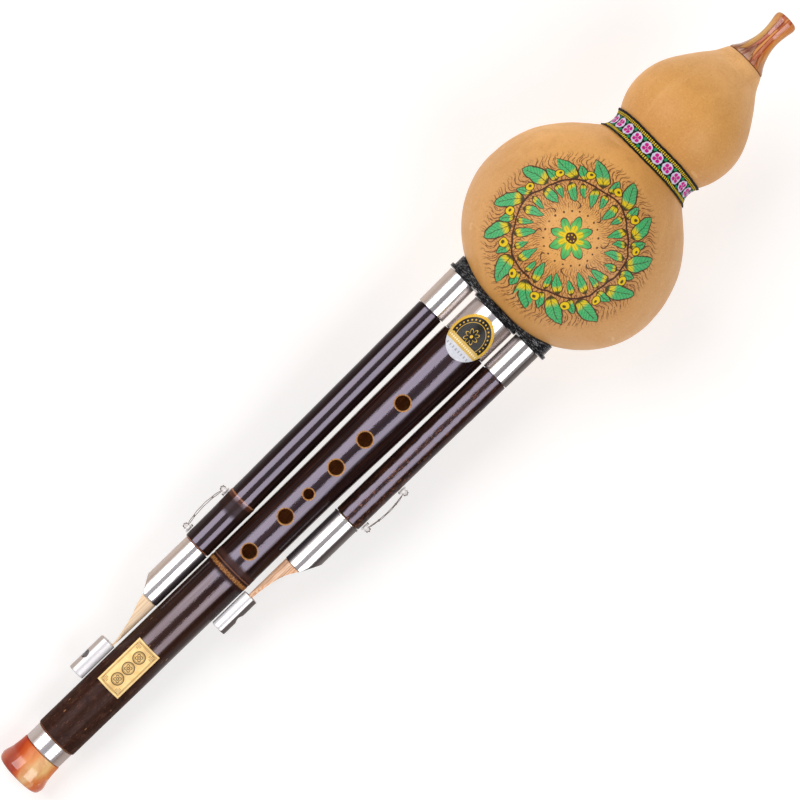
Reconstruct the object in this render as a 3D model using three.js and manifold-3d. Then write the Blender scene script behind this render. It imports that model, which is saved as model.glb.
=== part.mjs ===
// Hulusi: a gourd wind chest with a finger pipe and two drone pipes.
// Millimetres, +Z up. The instrument lies on its back, finger holes up, on the
// lower bulb of the gourd and the rim of the bell.
//
// The pieces are laid out on the instrument's own axis: x = 0 at the bell's
// end and x grows towards the mouthpiece, y is to the left drone's side, and
// z points out of the finger holes. REST_TILT leans that axis so that the
// bulb and the bell both touch the ground.
import * as THREE from 'three';
import { mergeVertices } from 'three/addons/utils/BufferGeometryUtils.js';
import Module from 'manifold-3d';

const wasm = await Module();
wasm.setup();

// ---------------------------------------------------------------- dimensions
const GAP = 0.3;                    // between pieces that touch

const REST_TILT = 6.64;             // degrees, axis up towards the mouthpiece
const REST_OFFSET = [-240.754, -0.688, 11.748];

// gourd
const BULB_X = 346.3;               // widest place of the lower bulb
const BULB_R = 52.2;
const BULB_BOTTOM_A = 46.5;         // half length of the bulb's lower end
const SHELL = 3.5;                  // wall
const TIP_X = 458.3;                // where the tip is cut off
const TIP_BORE_R = 6.5;
const GOURD_OUTER = [               // x, radius, from the bulb to the tip
  [346.3, 52.2], [354.0, 51.6], [361.5, 49.9], [369.0, 47.0], [376.0, 42.6],
  [382.5, 37.2], [388.0, 31.2], [391.2, 27.4], [393.6, 24.9], [397.6, 23.3],
  [401.4, 24.0], [404.8, 25.8], [409.5, 28.0], [414.5, 29.3], [420.5, 29.7],
  [427.0, 28.8], [434.0, 26.2], [440.5, 22.4], [447.0, 17.8], [452.5, 13.4],
  [458.3, 10.2],
];
const GOURD_INNER = [               // x, radius, from the tip back to the bulb
  [458.3, 6.5], [446.0, 6.5], [441.0, 12.5], [434.0, 21.0], [427.0, 25.0],
  [420.5, 26.1], [414.0, 25.7], [406.0, 22.6], [397.6, 19.7], [390.5, 23.2],
  [384.0, 31.0], [376.0, 38.4], [366.0, 44.6], [356.0, 47.8], [346.3, 48.7],
];
// the gourd's upper bulb and tip lean a little towards the left drone
const BEND = [[300, 0], [325, 0.25], [346, 0.68], [372, 1.4], [397, 2.1], [420, 2.6], [458, 3.35], [486, 3.62]];

// mouthpiece
const MOUTH_END_X = 485.4;
const MOUTH_OUTER = [
  [458.6, 10.0], [459.6, 9.75], [460.8, 8.9], [462.6, 7.7], [464.6, 6.75], [467.0, 5.85],
  [470.0, 5.05], [473.5, 4.65], [477.0, 4.75], [480.4, 5.2], [483.0, 5.65],
  [484.6, 5.5], [485.4, 4.9],
];
const MOUTH_BORE_R = 3.0;
const MOUTH_BORE_END_R = 3.6;
const MOUTH_TENON_R = 6.1;
const MOUTH_TENON_X = 446.6;

// waist ribbon
const RIBBON_X0 = 392.7, RIBBON_X1 = 403.3, RIBBON_T = 0.7;

// pipe seat
const SEAT_MID_R = 15.7, SEAT_END_R = 9.0, SEAT_END_Y = 20.2;
const SEAT_FACE_X = 299.7;          // face at the drones
const SEAT_BOSS_X = 298.1, SEAT_BOSS_R = 12.7;
const SEAT_LIP = 0.8, SEAT_LIP_X = 301.5;
const SEAT_INSET = 1.2;             // plug smaller than the flange
const SEAT_END_X = 321.0;

// main pipe
const MAIN_X0 = 24.1, MAIN_X1 = 279.0, MAIN_TENON_X = 291.0;
const MAIN_BORE_R = 7.2;
const MAIN_OUTER = [
  [24.1, 10.3], [24.7, 10.7], [60, 10.8], [130, 10.85], [134.2, 10.87], [135.6, 11.02],
  [137.2, 10.88], [165, 10.85], [200, 11.05], [241, 11.7], [272, 12.0], [279, 12.0],
];
const MAIN_TENON_R = 10.4;
const FINGER_HOLES = [              // x, radius
  [241.0, 3.45], [217.6, 3.45], [199.6, 3.45], [182.5, 2.4], [168.1, 3.45], [145.6, 3.45],
];
const THUMB_HOLE = [257.0, 3.3];
const REAR_VENTS = [[52.0, 2.6], [39.5, 2.6]];
const MAIN_FERRULE_R = 11.6, MAIN_FERRULE_BORE = 10.7;
const REED_TUBE_R = 8.5, REED_TUBE_BORE = 6.6, REED_TUBE_X1 = 350.0;

// bell
const BELL_OUTER = [
  [0, 10.4], [0.6, 11.4], [1.6, 11.95], [3.4, 12.3], [5.2, 12.0], [7.0, 11.45],
  [9.2, 11.0], [12.4, 10.65], [15.7, 10.45],
];
const BELL_TENON_R = 8.6, BELL_TENON_X = 36.0;
const BELL_MOUTH_R = 8.9;
const BELL_FERRULE_R = 10.2;

// plaque and label
const PLAQUE = { x0: 57.4, x1: 83.7, halfAngle: 34, r: 11.2, t: 0.5 };
const LABEL = { x: 282.8, rx: 11.9, ry: 9.7, r: 12.35, t: 0.3 };

// drones: d.side is +1 for the left one (y > 0) and -1 for the right one
const DRONES = {
  left: {
    side: 1, axisY0: 15.9, axisSlope: 0.0187,
    x0: 129.8, outer: [[129.8, 6.75], [130.4, 6.95], [155.5, 6.98], [158.6, 7.3], [161.5, 6.95], [170, 6.85], [240, 6.75], [278.7, 6.75]],
    ferruleR: 7.2,
    sleeveY: 17.95, sleeveR: 6.57, sleeveX0: 97.9, sleeveX1: 129.5,
    bevelX: 105.5, bevelV: 1.4,
    capX0: 51.1, capX1: 71.3, capV: -2.8, capR: 3.94, capHoleX: 60.3, capHoleTilt: 30,
    tongue: [[97.9, 1.45], [93.4, 0.4], [88.9, -1.4], [84.4, -2.8], [79.9, -3.9], [75.4, -4.75], [72.2, -5.15], [71.0, -4.75], [66.5, -4.75]],
    tongueInner: [[66.5, -5.5], [71.0, -5.5], [72.2, -6.0], [80, -6.15], [97.5, -6.25]],
    tipHalf: 1.35,
    loopX: 130.6,
  },
  right: {
    side: -1, axisY0: 20.15, axisSlope: 0,
    x0: 186.9, outer: [[186.9, 6.7], [187.4, 6.9], [230, 6.95], [278.7, 7.05]],
    ferruleR: 7.15,
    sleeveY: 20.15, sleeveR: 6.8, sleeveX0: 155.0, sleeveX1: 186.6,
    bevelX: 164.2, bevelV: 2.1,
    capX0: 110.8, capX1: 131.2, capV: -5.0, capR: 3.75, capHoleX: 120.5, capHoleTilt: 0,
    tongue: [[155.0, 2.0], [151.0, -0.4], [146.5, -2.1], [141.5, -3.2], [136.0, -3.9], [132.2, -4.2], [131.0, -4.2], [126.0, -4.2]],
    tongueInner: [[126.0, -6.2], [131.0, -6.2], [132.2, -6.45], [154.6, -6.5]],
    tipHalf: 1.9,
    loopX: 187.9,
  },
};
const DRONE_BORE_R = 4.4;
const DRONE_TENON_R = 6.0, DRONE_TENON_X = 292.0;      // upper end, in the ferrule
const DRONE_FOOT_R = 5.25, DRONE_FOOT_LEN = 8.4;       // lower end, in the sleeve
const SLEEVE_WALL = 0.55;
const HEAD_R = 5.65, HEAD_LEN = 20.4;
const DRONE_REED_R = 5.2, DRONE_REED_BORE = 3.9, DRONE_REED_X1 = 334.0;
const LOOP_OUTLINE = [
  [0, 0], [0, 2.2], [1.2, 3.3], [3.6, 3.1], [6, 2.9], [9, 3.6], [14, 4.0], [19, 3.6], [22, 2.9],
  [24.4, 3.1], [26.8, 3.3], [28, 2.2], [28, 0], [24.2, 0], [23.8, 1.8], [21.5, 2.05],
  [18.5, 2.75], [14, 3.15], [9.5, 2.75], [6.5, 2.05], [4.2, 1.8], [3.8, 0],
];
const LOOP_WIDTH = 4.0;

// ---------------------------------------------------------------- helpers
const deg = THREE.MathUtils.degToRad;

function clean(geometry) {
  let g = geometry.clone();
  g.deleteAttribute('normal');
  if (g.getAttribute('uv')) g.deleteAttribute('uv');
  g = mergeVertices(g, 1e-4);
  const pos = g.getAttribute('position');
  const idx = [];
  for (let i = 0; i < g.index.count; i += 3) {
    const a = g.index.getX(i), b = g.index.getX(i + 1), c = g.index.getX(i + 2);
    if (a !== b && b !== c && a !== c) idx.push(a, b, c);
  }
  // outward faces: the signed volume is positive
  let v = 0;
  const A = new THREE.Vector3(), B = new THREE.Vector3(), C = new THREE.Vector3();
  for (let i = 0; i < idx.length; i += 3) {
    A.fromBufferAttribute(pos, idx[i]); B.fromBufferAttribute(pos, idx[i + 1]); C.fromBufferAttribute(pos, idx[i + 2]);
    v += A.dot(B.cross(C));
  }
  if (v < 0) for (let i = 0; i < idx.length; i += 3) [idx[i + 1], idx[i + 2]] = [idx[i + 2], idx[i + 1]];
  g.setIndex(idx);
  return g;
}

function solid(geometry) {
  const g = clean(geometry);
  return new wasm.Manifold(new wasm.Mesh({
    numProp: 3,
    vertProperties: new Float32Array(g.getAttribute('position').array),
    triVerts: new Uint32Array(g.index.array),
  }));
}

function geometryOf(manifold) {
  const m = manifold.getMesh();
  const g = new THREE.BufferGeometry();
  const n = m.numProp, count = m.vertProperties.length / n;
  const p = new Float32Array(count * 3);
  for (let i = 0; i < count; i++) for (let k = 0; k < 3; k++) p[i * 3 + k] = m.vertProperties[i * n + k];
  g.setAttribute('position', new THREE.BufferAttribute(p, 3));
  g.setIndex(Array.from(m.triVerts));
  return g;
}

// Turned piece on the x axis. profile holds [x, r] pairs. The flats of the
// polygon face up and down.
function turned(profile, segments) {
  const pts = profile.map(([x, r]) => new THREE.Vector2(Math.max(r, 0), x));
  const g = new THREE.LatheGeometry(pts, segments, Math.PI / segments);
  g.rotateZ(-Math.PI / 2);
  return clean(g);
}
const ring = (outer, inner, segments) => turned([...outer, ...inner, outer[0]], segments);
const rod = (x0, x1, r, segments) => turned([[x0, 0], [x0, r], [x1, r], [x1, 0]], segments);
const tube = (x0, x1, r, bore, segments) => ring([[x0, r], [x1, r]], [[x1, bore], [x0, bore]], segments);

// Upright drill at x, y, along z from z0 to z1
function drill(x, y, r, z0, z1, segments = 16) {
  const g = new THREE.CylinderGeometry(r, r, z1 - z0, segments);
  g.rotateX(Math.PI / 2);
  g.translate(x, y, (z0 + z1) / 2);
  return g;
}
function box(x0, x1, y0, y1, z0, z1) {
  const g = new THREE.BoxGeometry(x1 - x0, y1 - y0, z1 - z0);
  g.translate((x0 + x1) / 2, (y0 + y1) / 2, (z0 + z1) / 2);
  return g;
}
// Plate whose outline lies in x, y, centred on z = 0
function plate(outline, width) {
  const s = new THREE.Shape(outline.map(([x, y]) => new THREE.Vector2(x, y)));
  const g = new THREE.ExtrudeGeometry(s, { depth: width, bevelEnabled: false, steps: 1 });
  g.translate(0, 0, -width / 2);
  return g;
}
// Extrusion along x of an outline in y, z
function along(outline, x0, x1) {
  const s = new THREE.Shape(outline.map(([y, z]) => new THREE.Vector2(y, z)));
  const g = new THREE.ExtrudeGeometry(s, { depth: x1 - x0, bevelEnabled: false, steps: 1 });
  // shape x -> world y, shape y -> world z, depth -> world x
  const m = new THREE.Matrix4().makeBasis(new THREE.Vector3(0, 1, 0), new THREE.Vector3(0, 0, 1), new THREE.Vector3(1, 0, 0));
  g.applyMatrix4(m);
  g.translate(x0, 0, 0);
  return g;
}

function lerpTable(table, x) {
  if (x <= table[0][0]) return table[0][1];
  for (let i = 1; i < table.length; i++) {
    if (x <= table[i][0]) {
      const [x0, v0] = table[i - 1], [x1, v1] = table[i];
      return v0 + (v1 - v0) * (x - x0) / (x1 - x0);
    }
  }
  return table[table.length - 1][1];
}
// Moves each point sideways by the gourd's lean at its x
function lean(geometry) {
  const p = geometry.getAttribute('position');
  for (let i = 0; i < p.count; i++) p.setY(i, p.getY(i) + lerpTable(BEND, p.getX(i)));
  p.needsUpdate = true;
  return geometry;
}

// Outline round the seat: a big circle between two small ones
function seatOutline(inset) {
  const R = SEAT_MID_R - inset, r = SEAT_END_R - inset, d = SEAT_END_Y;
  const a = Math.acos((R - r) / d);
  const out = [];
  const arc = (cy, rad, t0, t1, n) => {
    for (let i = 0; i <= n; i++) {
      const t = t0 + (t1 - t0) * i / n;
      out.push([cy + rad * Math.cos(t), rad * Math.sin(t)]);
    }
  };
  arc(d, r, -a, a, 8);
  arc(0, R, a, Math.PI - a, 4);
  arc(-d, r, Math.PI - a, Math.PI + a, 8);
  arc(0, R, Math.PI + a, 2 * Math.PI - a, 4);
  return out.filter((p, i) => {
    const q = out[(i + out.length - 1) % out.length];
    return Math.hypot(p[0] - q[0], p[1] - q[1]) > 0.05;
  });
}

// ---------------------------------------------------------------- materials
const M = {
  gourd: () => new THREE.MeshStandardMaterial({ color: 0xd9a268, roughness: 0.45, metalness: 0 }),
  amber: () => new THREE.MeshStandardMaterial({ color: 0xd98a4a, roughness: 0.12, metalness: 0 }),
  bell: () => new THREE.MeshStandardMaterial({ color: 0xcf6a34, roughness: 0.15, metalness: 0 }),
  ribbon: () => new THREE.MeshStandardMaterial({ color: 0x6a4a5a, roughness: 0.9, metalness: 0 }),
  rubber: () => new THREE.MeshStandardMaterial({ color: 0x15161a, roughness: 0.35, metalness: 0 }),
  lacquer: () => new THREE.MeshStandardMaterial({ color: 0x22140f, roughness: 0.18, metalness: 0 }),
  whiteMetal: () => new THREE.MeshStandardMaterial({ color: 0xe9e6e4, roughness: 0.12, metalness: 1 }),
  gold: () => new THREE.MeshStandardMaterial({ color: 0xd9ab52, roughness: 0.35, metalness: 1 }),
  label: () => new THREE.MeshStandardMaterial({ color: 0x2a2824, roughness: 0.4, metalness: 0.2 }),
  wood: () => new THREE.MeshStandardMaterial({ color: 0xe6bd86, roughness: 0.6, metalness: 0 }),
  brass: () => new THREE.MeshStandardMaterial({ color: 0xb48a3c, roughness: 0.3, metalness: 1 }),
  resin: () => new THREE.MeshStandardMaterial({ color: 0x2a2a2c, roughness: 0.4, metalness: 0 }),
};

const instrument = new THREE.Group();
function add(parent, name, geometry, material) {
  const mesh = new THREE.Mesh(geometry, material);
  mesh.name = name;
  parent.add(mesh);
  return mesh;
}

// ---------------------------------------------------------------- gourd
function bulbBottom(a, r, n) {
  const pts = [];
  for (let i = 0; i < n; i++) {
    const t = (Math.PI / 2) * (i / n);
    pts.push([BULB_X - a * Math.cos(t), r * Math.sin(t)]);
  }
  return pts;
}
const gourdOuterProfile = [...bulbBottom(BULB_BOTTOM_A, BULB_R, 9), ...GOURD_OUTER];
const gourdInnerProfile = [...GOURD_INNER, ...bulbBottom(BULB_BOTTOM_A - SHELL - 0.5, BULB_R - SHELL, 6).reverse()];
{
  const shell = solid(lean(turned([...gourdOuterProfile, ...gourdInnerProfile], 32)));
  const opening = solid(along(seatOutline(SEAT_INSET - GAP), 290, 322));
  add(instrument, 'gourd_body', geometryOf(shell.subtract(opening)), M.gourd());
}

// ribbon: a closed band that follows the waist
{
  const xs = [RIBBON_X0, 395.4, 398.0, 400.7, RIBBON_X1];
  const rAt = (x) => lerpTable(GOURD_OUTER, x);
  // stays over the straight chords between the gourd's profile points
  const outer = xs.map((x) => [x, rAt(x) + GAP + RIBBON_T]);
  const inner = [...xs].reverse().map((x) => [x, rAt(x) + GAP]);
  add(instrument, 'waist_ribbon', lean(ring(outer, inner, 32)), M.ribbon());
}

// mouthpiece
{
  const inner = [
    [MOUTH_END_X, MOUTH_BORE_END_R], [477.0, MOUTH_BORE_END_R - 0.05], [473.5, MOUTH_BORE_R], [462.0, MOUTH_BORE_R], [MOUTH_TENON_X, 3.8],
    [MOUTH_TENON_X, MOUTH_TENON_R], [458.6, MOUTH_TENON_R],
  ];
  add(instrument, 'mouthpiece', lean(ring(MOUTH_OUTER, inner, 20)), M.amber());
}

// ---------------------------------------------------------------- drone axes
function droneMatrix(d) {
  const a = Math.atan(d.axisSlope);
  return new THREE.Matrix4().makeTranslation(0, d.side * d.axisY0, 0)
    .multiply(new THREE.Matrix4().makeRotationZ(d.side * a));
}

// ---------------------------------------------------------------- pipe seat
{
  let seat = solid(along(seatOutline(0), SEAT_FACE_X, 314));
  // the flange ends on the gourd's skin
  const skin = solid(lean(turned([
    ...bulbBottom(BULB_BOTTOM_A + GAP + 0.15, BULB_R + GAP + 0.2, 11), [BULB_X, BULB_R + GAP + 0.2], [BULB_X + 5, 0],
  ], 40)));
  seat = seat.subtract(skin);
  seat = seat.add(solid(along(seatOutline(-SEAT_LIP), SEAT_FACE_X, SEAT_LIP_X)).subtract(skin));
  seat = seat.add(solid(rod(SEAT_BOSS_X, SEAT_FACE_X + 1, SEAT_BOSS_R, 32)));
  seat = seat.add(solid(along(seatOutline(SEAT_INSET), SEAT_FACE_X + 1, SEAT_END_X)));
  seat = seat.subtract(solid(rod(290, 330, REED_TUBE_R + GAP, 28)));
  for (const d of Object.values(DRONES)) {
    const g = rod(290, 330, DRONE_REED_R + GAP, 20);
    g.applyMatrix4(droneMatrix(d));
    seat = seat.subtract(solid(g));
  }
  add(instrument, 'pipe_seat', geometryOf(seat), M.rubber());
}

// ---------------------------------------------------------------- main pipe
const mainPipe = new THREE.Group();
instrument.add(mainPipe);
{
  const inner = [
    [MAIN_TENON_X, MAIN_TENON_R], [MAIN_TENON_X, MAIN_BORE_R],
    [BELL_TENON_X + GAP, MAIN_BORE_R], [BELL_TENON_X + GAP, BELL_TENON_R + GAP], [MAIN_X0, BELL_TENON_R + GAP],
  ];
  let pipe = solid(ring([...MAIN_OUTER, [MAIN_X1, MAIN_TENON_R]], inner, 32));
  for (const [x, r] of FINGER_HOLES) pipe = pipe.subtract(solid(drill(x, 0, r, 2, 16)));
  pipe = pipe.subtract(solid(drill(THUMB_HOLE[0], 0, THUMB_HOLE[1], -16, -2)));
  for (const [x, r] of REAR_VENTS) pipe = pipe.subtract(solid(drill(x, 0, r, -16, -2)));
  add(mainPipe, 'main_pipe', geometryOf(pipe), M.lacquer());

  add(mainPipe, 'main_ferrule', tube(MAIN_X1 + GAP, SEAT_BOSS_X - GAP, MAIN_FERRULE_R, MAIN_FERRULE_BORE, 32), M.whiteMetal());

  // reed tube: flange inside the ferrule, then the stem through the seat
  let stem = solid(ring(
    [[MAIN_TENON_X + GAP, MAIN_TENON_R], [295, MAIN_TENON_R], [295, REED_TUBE_R], [REED_TUBE_X1, REED_TUBE_R]],
    [[REED_TUBE_X1, REED_TUBE_BORE], [MAIN_TENON_X + GAP, REED_TUBE_BORE]], 28));
  stem = stem.subtract(solid(box(323, 349, -5, 5, 7.3, 12)));
  stem = stem.subtract(solid(box(327, 344, -1.5, 1.5, 3, 12)));
  add(mainPipe, 'main_reed_tube', geometryOf(stem), M.resin());
  // reed plate with the tongue cut free on three sides
  let reed = solid(box(323.4, 348.6, -3.0, 3.0, 7.6, 8.05));
  reed = reed.subtract(solid(box(328, 343.4, 1.1, 1.4, 7, 9)))
    .subtract(solid(box(328, 343.4, -1.4, -1.1, 7, 9)))
    .subtract(solid(box(328, 328.3, -1.4, 1.4, 7, 9)));
  add(mainPipe, 'main_reed_plate', geometryOf(reed), M.brass());
  add(mainPipe, 'main_reed_tube_cap', turned([[345.6, 0], [345.6, 6.25], [REED_TUBE_X1 + GAP, 6.25], [REED_TUBE_X1 + GAP, 8.4], [352.4, 8.0], [352.9, 0]], 24), M.resin());

  // bell and its ferrule
  const bellInner = [
    [15.7, BELL_TENON_R], [BELL_TENON_X, BELL_TENON_R], [BELL_TENON_X, MAIN_BORE_R], [15, MAIN_BORE_R],
    [7, 7.5], [2.5, 8.1], [0, BELL_MOUTH_R],
  ];
  add(mainPipe, 'bell', ring(BELL_OUTER, bellInner, 28), M.bell());
  add(mainPipe, 'bell_ferrule', tube(15.7 + GAP, MAIN_X0 - GAP, BELL_FERRULE_R, BELL_TENON_R + GAP, 28), M.whiteMetal());

  // plaque, bent round the pipe
  const arc = (r, a0, a1, n) => Array.from({ length: n + 1 }, (_, i) => {
    const t = deg(a0 + (a1 - a0) * i / n);
    return [r * Math.sin(t), r * Math.cos(t)];
  });
  const bent = (r, t, half, n) => [...arc(r, -half, half, n), ...arc(r + t, half, -half, n)];
  add(mainPipe, 'pipe_plaque', clean(along(bent(PLAQUE.r, PLAQUE.t, PLAQUE.halfAngle, 8), PLAQUE.x0, PLAQUE.x1)), M.gold());

  // round label, bent round the pipe's upper end
  const sheet = solid(along(bent(LABEL.r, LABEL.t, 60, 12), LABEL.x - 14, LABEL.x + 14));
  const round = drill(0, 0, 1, 0, 20, 28);
  round.scale(LABEL.rx, LABEL.ry, 1);
  round.translate(LABEL.x, 0, 0);
  add(mainPipe, 'round_label', geometryOf(sheet.intersect(solid(round))), M.label());
}

// ---------------------------------------------------------------- drones
function loopGeometry(d, surfaceR) {
  const g = plate(LOOP_OUTLINE.map(([x, v]) => [d.loopX + x, d.side * (surfaceR + GAP + v)]), LOOP_WIDTH);
  return clean(g);
}

for (const [side, d] of Object.entries(DRONES)) {
  const m = droneMatrix(d);
  const onAxis = new THREE.Group();
  onAxis.applyMatrix4(m);
  instrument.add(onAxis);

  const x0 = d.x0;
  add(onAxis, `${side}_drone_pipe`, ring(
    [...d.outer, [278.7, DRONE_TENON_R], [DRONE_TENON_X, DRONE_TENON_R]],
    [[DRONE_TENON_X, DRONE_BORE_R], [x0 - DRONE_FOOT_LEN, DRONE_BORE_R], [x0 - DRONE_FOOT_LEN, DRONE_FOOT_R], [x0, DRONE_FOOT_R]], 24), M.lacquer());
  add(onAxis, `${side}_ferrule`, tube(279.0, SEAT_FACE_X - GAP - 0.2, d.ferruleR, DRONE_TENON_R + GAP, 24), M.whiteMetal());

  let stem = solid(ring(
    [[DRONE_TENON_X + GAP, DRONE_TENON_R], [295.2, DRONE_TENON_R], [295.2, DRONE_REED_R], [DRONE_REED_X1, DRONE_REED_R]],
    [[DRONE_REED_X1, DRONE_REED_BORE], [DRONE_TENON_X + GAP, DRONE_REED_BORE]], 20));
  stem = stem.subtract(solid(box(322.5, 333.4, -4, 4, 4.3, 8))).subtract(solid(box(324, 332, -0.9, 0.9, 1, 8)));
  add(onAxis, `${side}_reed_tube`, geometryOf(stem), M.resin());
  let reed = solid(box(322.8, 333.1, -1.9, 1.9, 4.6, 4.95));
  reed = reed.subtract(solid(box(324.4, 331.6, 0.6, 0.85, 4, 6)))
    .subtract(solid(box(324.4, 331.6, -0.85, -0.6, 4, 6)))
    .subtract(solid(box(324.4, 324.65, -0.85, 0.85, 4, 6)));
  add(onAxis, `${side}_reed_plate`, geometryOf(reed), M.brass());
  add(onAxis, `${side}_reed_tube_cap`, turned([[330.2, 0], [330.2, 3.55], [DRONE_REED_X1 + GAP, 3.55], [DRONE_REED_X1 + GAP, 5.1], [335.8, 4.8], [336.2, 0]], 20), M.resin());

  const surface = lerpTable(d.outer, d.loopX + 14) + 0.05;
  add(onAxis, `${side}_loop`, loopGeometry(d, surface), M.whiteMetal());

  // sleeve, stopper and cap lie parallel to the main pipe
  const foot = new THREE.Group();
  foot.position.set(0, d.side * d.sleeveY, 0);
  instrument.add(foot);

  // bevel: everything below the slanting plane on the outer side goes
  const bevel = (shift) => {
    const k = (d.bevelX - d.sleeveX0) / (d.sleeveR - d.bevelV);
    const at = (v) => d.sleeveX0 + k * (v - d.bevelV) + shift;
    return [[at(d.bevelV - 6), d.side * (d.bevelV - 6)], [at(12), d.side * 12], [at(12) - 60, d.side * 12], [at(d.bevelV - 6) - 60, d.side * (d.bevelV - 6)]];
  };
  const sleeve = solid(tube(d.sleeveX0, d.sleeveX1, d.sleeveR, d.sleeveR - SLEEVE_WALL, 24));
  add(foot, `${side}_outlet_sleeve`, geometryOf(sleeve.subtract(solid(plate(bevel(0), 30)))), M.whiteMetal());

  // stopper: round head in the sleeve, tongue outside it
  const head = solid(rod(d.sleeveX0 - 0.5, d.sleeveX0 + HEAD_LEN, HEAD_R, 20)).subtract(solid(plate(bevel(0.5), 30)));
  const blade = [...d.tongueInner, ...d.tongue].map(([x, v]) => [x, d.side * v]);
  const tipX = d.tongue[d.tongue.length - 1][0];
  let tongue = solid(plate(blade, 30)).intersect(solid(rod(tipX, d.sleeveX0 - GAP, d.sleeveR - 0.25, 24)));
  tongue = tongue.subtract(solid(box(tipX - 1, d.capX1 + 0.6, -20, 20, d.tipHalf, 20)))
    .subtract(solid(box(tipX - 1, d.capX1 + 0.6, -20, 20, -20, -d.tipHalf)));
  add(foot, `${side}_stopper`, geometryOf(head.add(tongue)), M.wood());

  // pull cap: a small metal tube closed at its far end, with an eye in its outer side
  let cap = solid(ring(
    [[d.capX0, 0], [d.capX0, d.capR - 0.3], [d.capX0 + 0.3, d.capR], [d.capX1, d.capR]],
    [[d.capX1, d.capR - 0.42], [d.capX0 + 0.9, d.capR - 0.42], [d.capX0 + 0.9, 0]], 20));
  const eye = drill(d.capHoleX, 0, 2.3, 0, 8, 14);
  eye.rotateX(-d.side * deg(90 - d.capHoleTilt));
  cap = cap.subtract(solid(eye));
  const capGroup = new THREE.Group();
  capGroup.position.set(0, d.side * d.capV, 0);
  foot.add(capGroup);
  add(capGroup, `${side}_stopper_cap`, geometryOf(cap), M.whiteMetal());
}

// ---------------------------------------------------------------- at rest
instrument.rotation.y = -deg(REST_TILT);
instrument.position.set(...REST_OFFSET);

const hulusi = new THREE.Group();
hulusi.add(instrument);
export default hulusi;
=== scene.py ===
import math
import random

import bmesh
import bpy
import numpy as np
from mathutils import Matrix, Vector, noise


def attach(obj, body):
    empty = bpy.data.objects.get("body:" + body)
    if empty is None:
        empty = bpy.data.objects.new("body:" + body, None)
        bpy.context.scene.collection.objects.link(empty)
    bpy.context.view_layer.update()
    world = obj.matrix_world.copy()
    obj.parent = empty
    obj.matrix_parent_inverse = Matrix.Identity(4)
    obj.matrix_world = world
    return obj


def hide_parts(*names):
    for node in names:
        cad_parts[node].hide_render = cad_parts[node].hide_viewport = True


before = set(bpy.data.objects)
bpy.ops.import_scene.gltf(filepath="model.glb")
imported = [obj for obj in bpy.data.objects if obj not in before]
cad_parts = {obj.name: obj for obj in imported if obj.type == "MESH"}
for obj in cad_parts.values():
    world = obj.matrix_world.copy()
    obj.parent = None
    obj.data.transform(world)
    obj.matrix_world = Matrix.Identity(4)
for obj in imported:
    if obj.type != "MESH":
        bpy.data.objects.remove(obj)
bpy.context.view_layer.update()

MM = 0.001
TAU = 2 * math.pi

# ------------------------------------------------------------------ dimensions
# The same instrument axis as the frame: x from the bell's end, y to the left
# drone's side, z out of the finger holes, in millimetres.
REST_TILT = math.radians(6.64)
REST_OFFSET = (-240.754, -0.688, 11.748)

BULB_X, BULB_R, BULB_A, SHELL = 346.3, 52.2, 46.5, 3.5
GOURD_OUTER = [
    (346.3, 52.2), (354.0, 51.6), (361.5, 49.9), (369.0, 47.0), (376.0, 42.6), (382.5, 37.2), (388.0, 31.2),
    (391.2, 27.4), (393.6, 24.9), (397.6, 23.3), (401.4, 24.0), (404.8, 25.8), (409.5, 28.0), (414.5, 29.3),
    (420.5, 29.7), (427.0, 28.8), (434.0, 26.2), (440.5, 22.4), (447.0, 17.8), (452.5, 13.4), (458.3, 10.2),
]
GOURD_INNER = [
    (446.0, 6.5), (441.0, 12.5), (434.0, 21.0), (427.0, 25.0), (420.5, 26.1), (414.0, 25.7), (406.0, 22.6),
    (397.6, 19.7), (390.5, 23.2), (384.0, 31.0), (376.0, 38.4), (366.0, 44.6), (356.0, 47.8), (346.3, 48.7),
]
BEND = [(300, 0), (325, 0.25), (346, 0.68), (372, 1.4), (397, 2.1), (420, 2.6), (458, 3.35), (486, 3.62)]
MOUTH_OUTER = [
    (458.6, 10.0), (459.6, 9.75), (460.8, 8.9), (462.6, 7.7), (464.6, 6.75), (467.0, 5.85), (470.0, 5.05),
    (473.5, 4.65), (477.0, 4.75), (480.4, 5.2), (483.0, 5.65), (484.6, 5.5), (485.4, 4.9),
]
RIBBON_X0, RIBBON_X1 = 392.7, 403.3
FINGER_HOLES = [(241.0, 3.45), (217.6, 3.45), (199.6, 3.45), (182.5, 2.4), (168.1, 3.45), (145.6, 3.45)]
THUMB_HOLE = (257.0, 3.3)
REAR_VENTS = [(52.0, 2.6), (39.5, 2.6)]
PLAQUE = dict(x0=57.4, x1=83.7, half=34.0, r=11.2, t=0.5)
LABEL = dict(x=282.8, rx=11.9, ry=9.7, r=12.35, t=0.3)

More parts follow.
